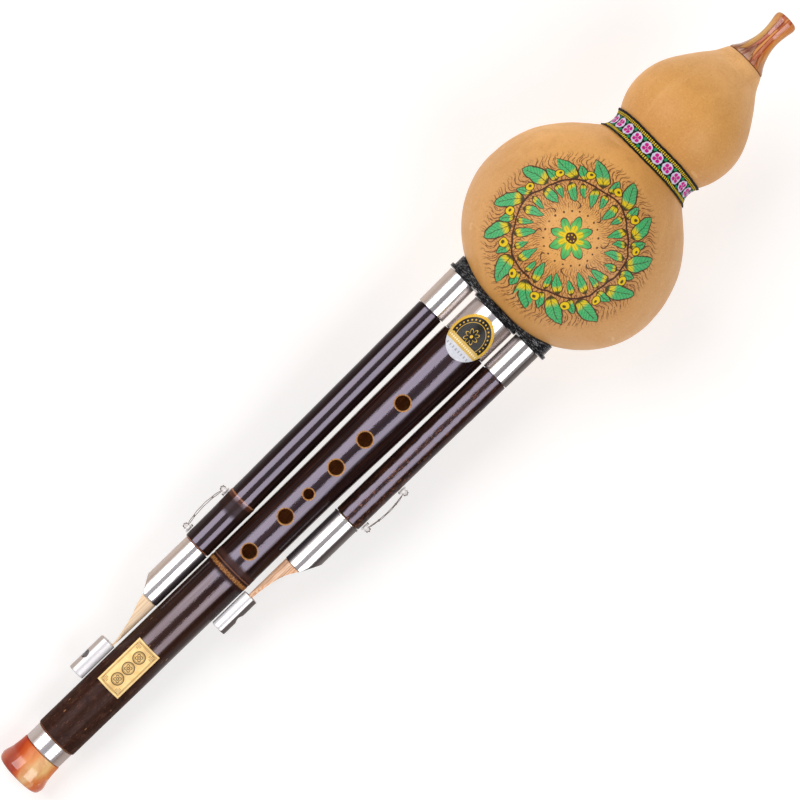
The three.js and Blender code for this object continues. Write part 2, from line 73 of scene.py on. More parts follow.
DRONES = {
    "left": dict(
        side=1, axis_y=15.9, slope=0.0187, x0=129.8,
        outer=[(129.8, 6.75), (130.4, 6.95), (155.5, 6.98), (158.6, 7.3), (161.5, 6.95), (170, 6.85), (240, 6.75), (278.7, 6.75)],
        ferrule=7.2, sleeve_y=17.95, sleeve_r=6.57, sleeve_x0=97.9, sleeve_x1=129.5, rim=0.0, bevel_x=105.5, bevel_v=1.4,
        cap_x0=51.1, cap_x1=71.3, cap_v=-2.8, cap_r=3.94, eye_x=60.3, eye_tilt=30,
        tongue=[(66.5, -4.75), (71.0, -4.75), (72.2, -5.15), (75.4, -4.75), (79.9, -3.9), (84.4, -2.8), (88.9, -1.4), (93.4, 0.4), (97.9, 1.45)],
        tongue_in=[(66.5, -5.5), (71.0, -5.5), (72.2, -6.0), (80, -6.15), (97.5, -6.25)],
        tip=1.35, loop_x=130.6, node_x=158.6,
    ),
    "right": dict(
        side=-1, axis_y=20.15, slope=0.0, x0=186.9,
        outer=[(186.9, 6.7), (187.4, 6.9), (230, 6.95), (278.7, 7.05)],
        ferrule=7.15, sleeve_y=20.15, sleeve_r=6.8, sleeve_x0=155.0, sleeve_x1=186.6, rim=0.32, bevel_x=164.2, bevel_v=2.1,
        cap_x0=110.8, cap_x1=131.2, cap_v=-5.0, cap_r=3.75, eye_x=120.5, eye_tilt=0,
        tongue=[(126.0, -4.2), (131.0, -4.2), (132.2, -4.2), (136.0, -3.9), (141.5, -3.2), (146.5, -2.1), (151.0, -0.4), (155.0, 2.0)],
        tongue_in=[(126.0, -6.2), (131.0, -6.2), (132.2, -6.45), (154.6, -6.5)],
        tip=1.9, loop_x=187.9, node_x=None,
    ),
}

INST = Matrix.Translation(Vector(REST_OFFSET) * MM) @ Matrix.Rotation(-REST_TILT, 4, "Y")


def shifted(x=0.0, y=0.0, z=0.0, turn=0.0):
    return INST @ Matrix.Translation(Vector((x, y, z)) * MM) @ Matrix.Rotation(turn, 4, "Z")


# ------------------------------------------------------------------ the camera and the light
def look(obj, at, towards, up):
    """Places obj at a point, its -Z along towards, its Y near up (instrument axes, mm)."""
    z = (-Vector(towards)).normalized()
    x = Vector(up).cross(z).normalized()
    y = z.cross(x)
    m = Matrix((x, y, z)).transposed().to_4x4()
    obj.matrix_world = INST @ Matrix.Translation(Vector(at) * MM) @ m


AIM = Vector((241.1, 1.87, 0.0))
LEAN = math.radians(44.03)
DISTANCE = 1500.0
cam = bpy.data.objects.new("camera", bpy.data.cameras.new("camera"))
bpy.context.scene.collection.objects.link(cam)
cam.data.lens, cam.data.sensor_width = 150.0, 36.0
cam.data.clip_start, cam.data.clip_end = 0.05, 20.0
look(cam, AIM + Vector((0, 0, DISTANCE)), (0, 0, -1), (math.sin(LEAN), math.cos(LEAN), 0))
bpy.context.scene.camera = cam


def softbox(name, angle, distance, across, along, radiance, x=241.0):
    """A rectangle of light over the pipes, at an angle from upright, its long side along them."""
    data = bpy.data.lights.new(name, "AREA")
    data.shape = "RECTANGLE"
    data.size, data.size_y = along * MM, across * MM
    data.energy = radiance * math.pi * (along * MM) * (across * MM)
    obj = bpy.data.objects.new(name, data)
    bpy.context.scene.collection.objects.link(obj)
    a = math.radians(angle)
    d = Vector((0, math.sin(a), math.cos(a)))
    z = d
    xa = Vector((1, 0, 0))
    ya = z.cross(xa)
    m = Matrix((xa, ya, z)).transposed().to_4x4()
    obj.matrix_world = INST @ Matrix.Translation((Vector((x, 0, 0)) + d * distance) * MM) @ m
    obj.visible_camera = False
    return obj


softbox("softbox_left", 37.0, 1100, 830, 860, 3.1)
softbox("softbox_right", -40.5, 1100, 825, 860, 3.1)

world = bpy.data.worlds.new("studio")
bpy.context.scene.world = world
world.use_nodes = True
wt = world.node_tree
wt.nodes.clear()
wo = wt.nodes.new("ShaderNodeOutputWorld")
wb = wt.nodes.new("ShaderNodeBackground")
wc = wt.nodes.new("ShaderNodeTexCoord")
ws = wt.nodes.new("ShaderNodeSeparateXYZ")
wt.links.new(wc.outputs["Generated"], ws.inputs[0])


def sky(axis, lo, hi, c0, c1):
    """A colour that goes from c0 to c1 as the direction's axis goes from lo to hi."""
    r, q = wt.nodes.new("ShaderNodeValToRGB"), wt.nodes.new("ShaderNodeMapRange")
    q.inputs["From Min"].default_value, q.inputs["From Max"].default_value = lo, hi
    wt.links.new(ws.outputs[axis], q.inputs["Value"])
    wt.links.new(q.outputs[0], r.inputs[0])
    el = r.color_ramp.elements
    el[0].color, el[1].color = (*c0, 1), (*c1, 1)
    return r.outputs[0]


# a warm grey room, lighter on the left drone's side and dim overhead
room = sky("Y", -0.9, 0.9, (0.20, 0.18, 0.17), (0.72, 0.66, 0.61))
over = sky("Z", 0.35, 0.9, (1.0, 1.0, 1.0), (0.56, 0.57, 0.62))
wx = wt.nodes.new("ShaderNodeMix")
wx.data_type, wx.blend_type = "RGBA", "MULTIPLY"
wx.inputs[0].default_value = 1.0
wt.links.new(room, wx.inputs[6])
wt.links.new(over, wx.inputs[7])
wt.links.new(wx.outputs[2], wb.inputs[0])
wb.inputs[1].default_value = 1.0
wt.links.new(wb.outputs[0], wo.inputs[0])

bpy.context.scene.view_settings.view_transform = "Standard"
bpy.context.scene.view_settings.look = "None"
bpy.context.scene.view_settings.exposure = 0.0


# ------------------------------------------------------------------ node-tree kit
def rgb(r, g, b):
    """Screen values 0-255 as linear light."""
    def f(v):
        v /= 255.0
        return v / 12.92 if v <= 0.04045 else ((v + 0.055) / 1.055) ** 2.4
    return (f(r), f(g), f(b))


class X:
    """A socket that can be added, multiplied and so on."""
    __slots__ = ("sh", "o")

    def __init__(self, sh, o):
        self.sh, self.o = sh, o

    def __add__(a, b): return a.sh.m2("ADD", a, b)
    def __radd__(a, b): return a.sh.m2("ADD", b, a)
    def __sub__(a, b): return a.sh.m2("SUBTRACT", a, b)
    def __rsub__(a, b): return a.sh.m2("SUBTRACT", b, a)
    def __mul__(a, b): return a.sh.m2("MULTIPLY", a, b)
    def __rmul__(a, b): return a.sh.m2("MULTIPLY", b, a)
    def __truediv__(a, b): return a.sh.m2("DIVIDE", a, b)
    def __rtruediv__(a, b): return a.sh.m2("DIVIDE", b, a)
    def __neg__(a): return a.sh.m2("MULTIPLY", a, -1.0)


class Shader:
    def __init__(self, name, axes=INST):
        """axes is where the piece's own x, y and z, in mm, lie at rest."""
        m = bpy.data.materials.new(name)
        m.use_nodes = True
        self.mat, self.t = m, m.node_tree
        self.t.nodes.clear()
        out = self.t.nodes.new("ShaderNodeOutputMaterial")
        self.p = self.t.nodes.new("ShaderNodeBsdfPrincipled")
        self.t.links.new(self.p.outputs[0], out.inputs["Surface"])
        tc = self.t.nodes.new("ShaderNodeTexCoord")
        vm = self.t.nodes.new("ShaderNodeMapping")
        back = axes.inverted()
        vm.inputs["Scale"].default_value = (1 / MM,) * 3
        vm.inputs["Rotation"].default_value = back.to_euler("XYZ")
        vm.inputs["Location"].default_value = back.to_translation() / MM
        self.t.links.new(tc.outputs["Object"], vm.inputs[0])
        sp = self.t.nodes.new("ShaderNodeSeparateXYZ")
        self.t.links.new(vm.outputs[0], sp.inputs[0])
        self.pos = X(self, vm.outputs[0])
        self.x, self.y, self.z = (X(self, sp.outputs[i]) for i in range(3))
        self.normal = None

    def _in(self, socket, v):
        if isinstance(v, X):
            self.t.links.new(v.o, socket)
        elif isinstance(v, (tuple, list)):
            socket.default_value = (*v, 1.0) if len(socket.default_value) == 4 and len(v) == 3 else v
        else:
            socket.default_value = v

    def m2(self, op, a, b=None, c=None, clamp=False):
        n = self.t.nodes.new("ShaderNodeMath")
        n.operation, n.use_clamp = op, clamp
        for i, v in enumerate((a, b, c)):
            if v is not None:
                self._in(n.inputs[i], v)
        return X(self, n.outputs[0])

    def sin(self, a): return self.m2("SINE", a)
    def cos(self, a): return self.m2("COSINE", a)
    def abs(self, a): return self.m2("ABSOLUTE", a)
    def sqrt(self, a): return self.m2("SQRT", a)
    def pow(self, a, b): return self.m2("POWER", a, b)
    def atan2(self, a, b): return self.m2("ARCTAN2", a, b)
    def floor(self, a): return self.m2("FLOOR", a)
    def fract(self, a): return self.m2("FRACT", a)
    def min(self, a, b): return self.m2("MINIMUM", a, b)
    def max(self, a, b): return self.m2("MAXIMUM", a, b)
    def clamp(self, a): return self.m2("ADD", a, 0.0, clamp=True)
    def hypot(self, a, b): return self.sqrt(a * a + b * b)
    def wrap(self, a, half): return self.m2("WRAP", a, half, -half)

    def map(self, v, a, b, c=0.0, d=1.0, smooth=True):
        n = self.t.nodes.new("ShaderNodeMapRange")
        n.interpolation_type = "SMOOTHSTEP" if smooth else "LINEAR"
        n.clamp = True
        for i, q in enumerate((v, a, b, c, d)):
            self._in(n.inputs[i], q)
        return X(self, n.outputs[0])

    def below(self, v, edge, soft=0.1):
        """1 where v is under edge."""
        return self.map(v, edge + soft, edge - soft)

    def band(self, v, mid, half, soft=0.1):
        return self.map(self.abs(v - mid), half + soft, half - soft)

    def vec(self, x, y, z):
        n = self.t.nodes.new("ShaderNodeCombineXYZ")
        for i, q in enumerate((x, y, z)):
            self._in(n.inputs[i], q)
        return X(self, n.outputs[0])

    def noise(self, v, scale=1.0, detail=2.0, rough=0.5, dist=0.0, colour=False):
        n = self.t.nodes.new("ShaderNodeTexNoise")
        self._in(n.inputs["Vector"], v)
        for k, q in (("Scale", scale), ("Detail", detail), ("Roughness", rough), ("Distortion", dist)):
            self._in(n.inputs[k], q)
        return X(self, n.outputs[1 if colour else 0])

    def cells(self, v, scale=1.0, feature="F1", rand=1.0, out="Distance"):
        n = self.t.nodes.new("ShaderNodeTexVoronoi")
        n.feature = feature
        self._in(n.inputs["Vector"], v)
        self._in(n.inputs["Scale"], scale)
        self._in(n.inputs["Randomness"], rand)
        return X(self, n.outputs[out])

    def hash(self, v):
        n = self.t.nodes.new("ShaderNodeTexWhiteNoise")
        n.noise_dimensions = "1D"
        self._in(n.inputs["W"], v)
        return X(self, n.outputs["Value"])

    def ramp(self, v, stops, interp="LINEAR"):
        n = self.t.nodes.new("ShaderNodeValToRGB")
        n.color_ramp.interpolation = interp
        el = n.color_ramp.elements
        for k, (p, c) in ((0, stops[0]), (1, stops[-1])):
            el[k].position, el[k].color = p, (*c, 1.0)
        for p, c in stops[1:-1]:
            el.new(p).color = (*c, 1.0)
        self._in(n.inputs[0], v)
        return X(self, n.outputs[0])

    def mix(self, f, a, b, mode="MIX"):
        n = self.t.nodes.new("ShaderNodeMix")
        n.data_type, n.blend_type, n.clamp_factor = "RGBA", mode, True
        self._in(n.inputs[0], f)
        self._in(n.inputs[6], a)
        self._in(n.inputs[7], b)
        return X(self, n.outputs[2])

    def facing(self, blend=0.5):
        """0 where the surface faces the eye, 1 at its outline."""
        n = self.t.nodes.new("ShaderNodeLayerWeight")
        n.inputs["Blend"].default_value = blend
        return X(self, n.outputs["Facing"])

    def eased(self, a=0.085, b=0.165, least=0.1):
        """1 where the surface faces the eye, down to least towards its outline."""
        return self.map(self.facing(), a, b, 1.0, least)

    def turned_to(self, axis):
        """The surface's own direction along one of the row's axes, -1 to 1."""
        tc = self.t.nodes.new("ShaderNodeTexCoord")
        sp = self.t.nodes.new("ShaderNodeSeparateXYZ")
        self.t.links.new(tc.outputs["Normal"], sp.inputs[0])
        return X(self, sp.outputs[axis])

    def lift(self, amount):
        """Shades the surface as if it faced up by that much more."""
        g = self.t.nodes.new("ShaderNodeNewGeometry")
        add = self.t.nodes.new("ShaderNodeVectorMath")
        add.operation = "ADD"
        self.t.links.new(g.outputs["Normal"], add.inputs[0])
        self._in(add.inputs[1], self.vec(0.0, 0.0, amount))
        one = self.t.nodes.new("ShaderNodeVectorMath")
        one.operation = "NORMALIZE"
        self.t.links.new(add.outputs[0], one.inputs[0])
        self.normal = X(self, one.outputs[0])

    def edges(self):
        """About 0.5 on flat ground, more on ridges and less in hollows."""
        return X(self, self.t.nodes.new("ShaderNodeNewGeometry").outputs["Pointiness"])

    def attr(self, name):
        n = self.t.nodes.new("ShaderNodeAttribute")
        n.attribute_name = name
        return X(self, n.outputs["Fac"])

    def bump(self, height, depth_mm, strength=1.0):
        n = self.t.nodes.new("ShaderNodeBump")
        n.inputs["Strength"].default_value = strength
        n.inputs["Distance"].default_value = abs(depth_mm) * MM
        n.invert = depth_mm < 0
        self._in(n.inputs["Height"], height)
        if self.normal is not None:
            self.t.links.new(self.normal.o, n.inputs["Normal"])
        self.normal = X(self, n.outputs[0])
        self.t.links.new(self.normal.o, self.p.inputs["Normal"])

    def set(self, **kw):
        for k, v in kw.items():
            self._in(self.p.inputs[k.replace("_", " ")], v)
        return self.mat


def unit_tube(s, r):
    """Distance round a pipe of radius r, in mm, zero at the top."""
    return s.atan2(s.y, s.z) * r


# ------------------------------------------------------------------ materials
def drone_axes(d):
    return shifted(0, d["side"] * d["axis_y"], 0, d["side"] * math.atan(d["slope"]))


def mat_gourd():
    s = Shader("gourd_skin")
    soft = s.noise(s.pos, 0.018, 3, 0.55)
    mott = s.noise(s.pos, 0.09, 4, 0.6, 0.4)
    fine = s.noise(s.pos, 1.1, 3, 0.6)
    base = s.ramp(soft, [(0.28, rgb(208, 150, 80)), (0.5, rgb(218, 160, 88)), (0.72, rgb(228, 172, 100))])
    # the fruit's lower, shaded side is greyer
    base = s.mix(s.map(s.y, 8.0, -44.0, 0, 0.55) * s.map(s.x, 392, 372), base, rgb(186, 140, 92))
    # painted shade and light: the upper bulb's -y flank, the skin just above the waist and the lower bulb's outer +y
    # edge are darker; the neck's top towards the mouthpiece and the lower bulb's +y side towards the waist are lighter
    base = s.mix(s.map(s.y, 4.0, -26.0, 0, 0.3) * s.map(s.x, 398, 408), base, rgb(190, 138, 80))
    base = s.mix(s.map(s.x, 428, 456, 0, 0.65) * s.map(s.z, -4, 4), base, rgb(244, 190, 130))
    base = s.mix(s.map(s.x, 352, 384, 0, 0.55) * s.map(s.x, 403, 393) * s.map(s.y, -14, 14), base, rgb(250, 186, 104))
    base = s.mix(s.map(s.x, 422, 404, 0, 0.25) * s.map(s.x, 398, 402), base, rgb(176, 124, 70))
    base = s.mix(s.map(s.x, 340, 372, 0.4, 0) * s.map(s.y, 20, 40), base, rgb(190, 144, 98))
    base = s.mix(s.map(mott, 0.42, 0.75, 0, 0.4), base, rgb(194, 136, 70))
    base = s.mix(s.map(fine, 0.50, 0.76, 0, 0.34), base, rgb(176, 120, 62))
    base = s.mix(s.map(fine, 0.47, 0.27, 0, 0.2), base, rgb(240, 194, 130))
    # ripening streaks that run from tip to base
    a = s.atan2(s.y, s.z)
    streak = s.noise(s.vec(s.x * 0.012, s.sin(a) * 2.6, s.cos(a) * 2.6), 1.6, 4, 0.62, 0.2)
    base = s.mix(s.map(streak, 0.5, 0.78, 0, 0.22), base, rgb(236, 186, 124))
    # a few pale scars and dark pores
    pore = s.cells(s.pos, 0.32)
    base = s.mix(s.below(pore, 0.055, 0.03) * 0.45, base, rgb(158, 104, 58))
    scar = s.noise(s.vec(s.x * 0.5, s.y * 0.12, s.z * 0.12), 0.5, 2, 0.5, 1.0)
    base = s.mix(s.map(scar, 0.70, 0.76, 0, 0.25), base, rgb(240, 200, 146))
    # darker ring where the mouthpiece meets the skin
    base = s.mix(s.map(s.x, 456.5, 459.5, 0, 0.3), base, rgb(160, 106, 60))
    base, ink = gourd_art(s, base)
    s.bump(s.noise(s.pos, 0.06, 3, 0.5), 0.5, 0.35)
    s.bump(fine, 0.03, 0.5)
    s.bump(ink, -0.05, 0.6)
    rough = s.map(mott, 0.3, 0.8, 0.44, 0.54) + ink * 0.15
    return s.set(Base_Color=base, Roughness=rough, Specular_IOR_Level=0.3)


def gourd_art(s, base):
    """A painted wreath of leaves and berries on the lower bulb, with burnt brown lines."""
    wob = s.noise(s.pos, 0.16, 2, 0.5, colour=True)
    sp = s.t.nodes.new("ShaderNodeSeparateXYZ")
    s.t.links.new(wob.o, sp.inputs[0])
    wx, wy = X(s, sp.outputs[0]) - 0.5, X(s, sp.outputs[1]) - 0.5
    X0, Y0 = 343.5, 0.7
    px = s.x - X0 + wx * 2.2
    py = s.y - Y0 + wy * 2.2
    rho = s.hypot(px, py)
    ang = s.atan2(py, px)
    front = s.map(s.z, 6.0, 9.0)
    brown, dark = rgb(96, 44, 18), rgb(58, 24, 14)
    green, lime, yellow, black = rgb(14, 172, 98), rgb(92, 190, 120), rgb(230, 196, 8), rgb(26, 20, 28)

    grain = s.noise(s.pos, 1.6, 3, 0.6)
    ink = None

    def lay(mask, col, amount=1.0, burn=0.0):
        nonlocal base, ink
        m = mask * front * amount
        base = s.mix(m, base, col)
        if burn:
            ink = m * burn if ink is None else s.max(ink, m * burn)

    # cells round the wreath
    N, R0 = 13, 25.5
    cell = ang * (N / TAU)
    k = s.floor(cell)
    frac = s.fract(cell) - 0.5
    rnd = s.hash(k * 1.0 + 3.0)
    b = frac * (TAU * R0 / N)
    a = rho - R0

    def leaf(a0, b0, tilt, length, width, sign, seed):
        """A slanted leaf in the cell, from (a0, b0) away from the stem."""
        j = (s.hash(k * 1.0 + seed) - 0.5) * 0.35
        ct, st = math.cos(tilt), math.sin(tilt)
        da, db = (a - a0) * sign, b - b0
        u = da * ct + db * st
        v = db * ct - da * st + j * u
        q = u / length
        inside = s.clamp(q * (1.0 - q) * 4.0)
        h = s.pow(inside, 0.72) * width * (1.25 - q * 0.5)
        d = s.abs(v) - h
        ends = s.map(q, -0.02, 0.03) * s.map(q, 1.02, 0.97)
        fill = s.map(d, 0.12, -0.18) * ends
        edge = s.band(d, 0.08, 0.24, 0.14) * s.map(q, -0.04, 0.02) * s.map(q, 1.05, 1.0)
        rib = s.band(v, 0.0, 0.14, 0.14) * s.map(q, -0.2, -0.15) * s.map(q, 0.95, 0.8)
        veins = s.band(s.fract((u - s.abs(v) * 1.15) / 1.5), 0.5, 0.10, 0.09) * fill
        return fill, edge, rib, veins, q, v

    # soft burnt shading under the wreath, its stipple, and grass-like strokes behind the leaves
    dots = s.cells(s.vec(s.x, s.y, s.z * 0.6), 1.15)
    patchy = s.map(s.noise(s.pos, 0.22, 2, 0.5), 0.30, 0.58)
    halo = s.map(s.abs(a), 15.0, 3.0) * patchy
    lay(halo, rgb(150, 84, 36), 0.30)
    lay(s.below(dots, 0.27, 0.10) * halo, brown, 0.85, 0.6)
    for wave_, gap, lo, seed in ((0.55, 1.05, 0.42, 0.0), (0.8, 0.74, 0.36, 4.0)):
        fr = s.abs(s.wrap(b + s.sin(a * wave_ + seed) * 0.9 + seed * 0.3, gap))
        frond = s.map(fr, 0.24, 0.08) * s.map(s.abs(a), 14.5, 10.5) * s.map(s.noise(s.vec(s.x + seed, s.y, s.z), 0.42, 2, 0.6), lo, lo + 0.12)
        lay(frond, brown, 0.85, 0.7)

    for (a0, b0, tilt, ln, w, sg, sd) in (
        (0.9, -0.7, 0.55, 12.2, 2.75, 1.0, 11.0),
        (0.9, 2.6, -0.40, 9.4, 2.3, -1.0, 23.0),
        (0.9, -3.6, -0.25, 6.6, 1.6, -1.0, 53.0),
        (0.6, -4.7, 0.30, 6.8, 1.7, 1.0, 37.0),
    ):
        fill, edge, rib, veins, q, v = leaf(a0 if sg > 0 else -a0, b0, tilt, ln, w, sg, sd)
        paint = s.mix(s.map(grain, 0.35, 0.7), green, lime)
        paint = s.mix(s.map(rnd, 0.35, 0.75, 0, 0.35), paint, rgb(84, 182, 126))
        lay(fill, paint, 0.95)
        tipmark = fill * s.map(q, 0.40, 0.24) * s.map(s.noise(s.pos, 0.9, 2, 0.5), 0.22, 0.40)
        lay(tipmark, yellow, 0.95)
        lay(fill * s.map(q, 0.18, 0.09), black, 0.92)
        lay(veins, rgb(16, 104, 60), 0.6)
        lay(edge, dark, 0.92, 0.8)
        lay(rib, dark, 0.88, 0.8)

    # stem
    stem = s.band(a + s.sin(ang * (N * 0.5)) * 0.55, 0.0, 0.42, 0.16)
    lay(stem, dark, 0.95, 1.0)

    # berries at every cell's edge
    bb = s.wrap(b + TAU * R0 / N / 2, TAU * R0 / N / 2)
    bd = s.hypot(bb, a - 3.6)
    lay(s.below(bd, 1.75, 0.12), yellow, 0.95)
    lay(s.band(bd, 1.8, 0.18, 0.12), dark, 0.9, 0.8)
    lay(s.below(s.hypot(bb + 0.25, a - 3.9), 0.62, 0.15), black, 0.9)

    # middle rosette: eight petals, a ring of dots, a dark heart
    M = 8
    c2 = ang * (M / TAU)
    f2 = s.abs(s.fract(c2) - 0.5) * 2.0
    petal = 9.6 - s.pow(f2, 1.7) * 4.6
    dp = rho - petal
    ring = s.map(rho, 12.4, 8.4) * s.below(dots, 0.26, 0.10)
    lay(ring, brown, 0.85, 0.6)
    lay(s.map(dp, 0.1, -0.3) * s.map(rho, 2.4, 2.9), s.mix(s.map(rho, 9.2, 3.8), green, rgb(112, 198, 90)), 0.94)
    lay(s.map(rho - petal * 0.62, 0.15, -0.35) * s.map(rho, 2.0, 2.5), yellow, 0.92)
    rays = s.band(s.fract(c2 * 3.0), 0.5, 0.08, 0.07) * s.map(rho, 3.0, 3.6) * s.map(dp, -0.6, -1.2)
    lay(rays, rgb(104, 78, 10), 0.65)
    lay(s.band(dp, 0.06, 0.26, 0.14), dark, 0.94, 0.9)
    lay(s.band(f2, 1.0, 0.06, 0.05) * s.map(rho, 2.6, 3.0) * s.map(dp, 0.0, -0.3), dark, 0.8, 0.8)
    lay(s.below(rho, 2.5, 0.15), dark, 0.94, 0.9)
    lay(s.below(s.hypot(rho - 1.45, s.abs(s.fract(ang * (6 / TAU)) - 0.5) * 1.3), 0.30, 0.1), yellow, 0.9)
    cr = s.hypot((s.fract(ang * (20 / TAU)) - 0.5) * (TAU * 11.9 / 20), rho - 11.9)
    lay(s.below(cr, 0.46, 0.14), dark, 0.9, 0.8)
    # curled feelers between the rosette and the wreath
    cu = s.band(s.wrap(ang * 8.0 / TAU + s.sin(rho * 0.55) * 0.35, 0.5), 0.0, 0.032, 0.02)
    lay(cu * s.map(rho, 12.8, 13.4) * s.map(rho, 17.4, 16.2), dark, 0.9, 0.8)
    return base, ink


def bamboo_kit(s, r, body, streak):
    """Dark stained bamboo under varnish: fibres, fine grain and clouds of stain."""
    arc = unit_tube(s, r)
    fib = s.noise(s.vec(s.x * 0.02, arc * 1.0, 0.0), 1.1, 5, 0.62)
    fine = s.noise(s.vec(s.x * 0.06, arc * 5.0, 3.0), 1.0, 3, 0.6)
    cloud = s.noise(s.vec(s.x * 0.035, s.y * 0.12, s.z * 0.12), 1.0, 3, 0.5)
    base = s.mix(s.map(fib, 0.44, 0.74, 0, 0.8), body, streak)
    base = s.mix(s.map(cloud, 0.42, 0.7, 0, 0.6), base, tuple(v * 0.45 for v in body))
    base = s.mix(s.map(fine, 0.58, 0.82, 0, 0.3), base, tuple(min(1, v * 1.6) for v in streak))
    return arc, fib, fine, cloud, base


def mat_main_bamboo():
    s = Shader("lacquered_bamboo")
    arc, fib, fine, cloud, base = bamboo_kit(s, 11.0, rgb(29, 16, 13), rgb(62, 30, 18))
    flank = s.map(s.y, 2.0, 9.5) * s.map(s.x, 110.0, 160.0)
    base = s.mix(flank * s.map(fib, 0.4, 0.7) * 0.3, base, rgb(84, 46, 28))
    matte = s.map(s.x + s.noise(s.pos, 0.15, 2) * 14 - 7, 88.0, 62.0)
    # flecks of the bare skin on the lower end
    fl = s.noise(s.vec(s.x * 0.30, arc * 0.75, 1.0), 1.15, 3, 0.62)
    fleck = s.map(fl, 0.60, 0.70) * s.map(s.x, 118.0, 62.0, 0.10, 1.0)
    base = s.mix(matte * 0.7, base, s.ramp(s.noise(s.vec(s.x * 0.09, arc * 0.55, 4.0), 1.0, 4, 0.6),
                                           [(0.32, rgb(40, 24, 19)), (0.5, rgb(58, 38, 33)), (0.7, rgb(74, 53, 47))]))
    base = s.mix(fleck * 0.75, base, s.ramp(fine, [(0.35, rgb(92, 52, 34)), (0.7, rgb(140, 92, 64))]))
    pale = s.below(s.cells(s.vec(s.x * 0.11, arc * 0.30, 5.0), 1.0), 0.075, 0.04) * s.map(s.x, 116.0, 74.0)
    base = s.mix(pale, base, rgb(196, 140, 98))
    # the node's scar: a broken golden band, a dark groove, then a thin line and a smear
    jag = s.noise(s.vec(s.x * 0.3, arc * 1.3, 9.0), 1.0, 3, 0.6)
    d = s.x + (jag - 0.5) * 1.4
    tan = s.ramp(s.noise(s.vec(s.x * 0.8, arc * 1.5, 2.0), 1.0, 4, 0.7),
                 [(0.32, rgb(44, 24, 14)), (0.46, rgb(126, 80, 42)), (0.62, rgb(184, 130, 76)), (0.8, rgb(150, 98, 56))])
    base = s.mix(s.band(s.x, 133.6, 4.6, 1.6) * 0.8, base, rgb(50, 30, 26))
    base = s.mix(s.band(d, 131.9, 0.95, 0.35), base, tan)
    base = s.mix(s.band(s.x + (jag - 0.5) * 0.7, 134.3, 0.28, 0.25) * 0.75, base, rgb(134, 92, 72))
    base = s.mix(s.band(d, 136.4, 1.1, 0.8) * 0.45, base, rgb(88, 60, 52))
    # the bare edge at the lower end
    base = s.mix(s.below(s.x + (jag - 0.5) * 0.3, 24.6, 0.12), base, rgb(150, 100, 72))
    dull = s.max(s.max(matte, s.map(s.x, 128.0, 96.0, 0, 0.14)), s.band(s.x + (jag - 0.5) * 1.5, 133.6, 4.4, 1.2))
    base = s.mix(s.map(s.x, 131.0, 100.0, 0, 0.35), base, rgb(66, 40, 28))
    mottle = s.noise(s.vec(s.x * 0.22, arc * 0.34, 8.0), 1.0, 4, 0.66, 0.5)
    base = s.mix(s.map(mottle, 0.50, 0.66, 0, 0.6) * matte, base, rgb(34, 21, 18))
    base = s.mix(s.map(mottle, 0.46, 0.32, 0, 0.45) * matte, base, rgb(92, 62, 50))
    s.bump(fib, 0.07, 0.15)
    s.bump(fine, 0.012, 0.2)
    s.bump(fl, -0.22, 0.25)
    s.bump(s.noise(s.pos, 0.10, 2, 0.5), 0.25, 0.07)
    rough = s.map(cloud, 0.3, 0.8, 0.115, 0.16) + dull * 0.28 + fleck * 0.1
    # the varnish below the node shows a narrower, warmer gleam with fine streaks
    low = s.map(s.x, 132.0, 122.0)
    streaks = s.noise(s.vec(s.x * 0.03, arc * 1.5, 6.0), 1.0, 4, 0.6)
    mid = s.map(s.x, 184.0, 208.0) * s.map(s.y, -0.5, -2.0)
    upper = s.eased() * (1.0 - mid) + s.eased(0.070, 0.122) * mid
    gleam = upper * (1.0 - low) + s.eased(0.074, 0.142) * s.map(s.facing(), 0.006, 0.018, 0.55, 1.0) * low
    gleam = gleam * (1.0 + (streaks - 0.5) * s.map(low, 0, 1, 0.35, 0.9))
    return s.set(Base_Color=base, Roughness=rough, IOR=1.98, Specular_IOR_Level=(0.5 - dull * 0.44) * gleam,
                 Specular_Tint=s.mix(low, rgb(240, 228, 255), rgb(244, 224, 236)))


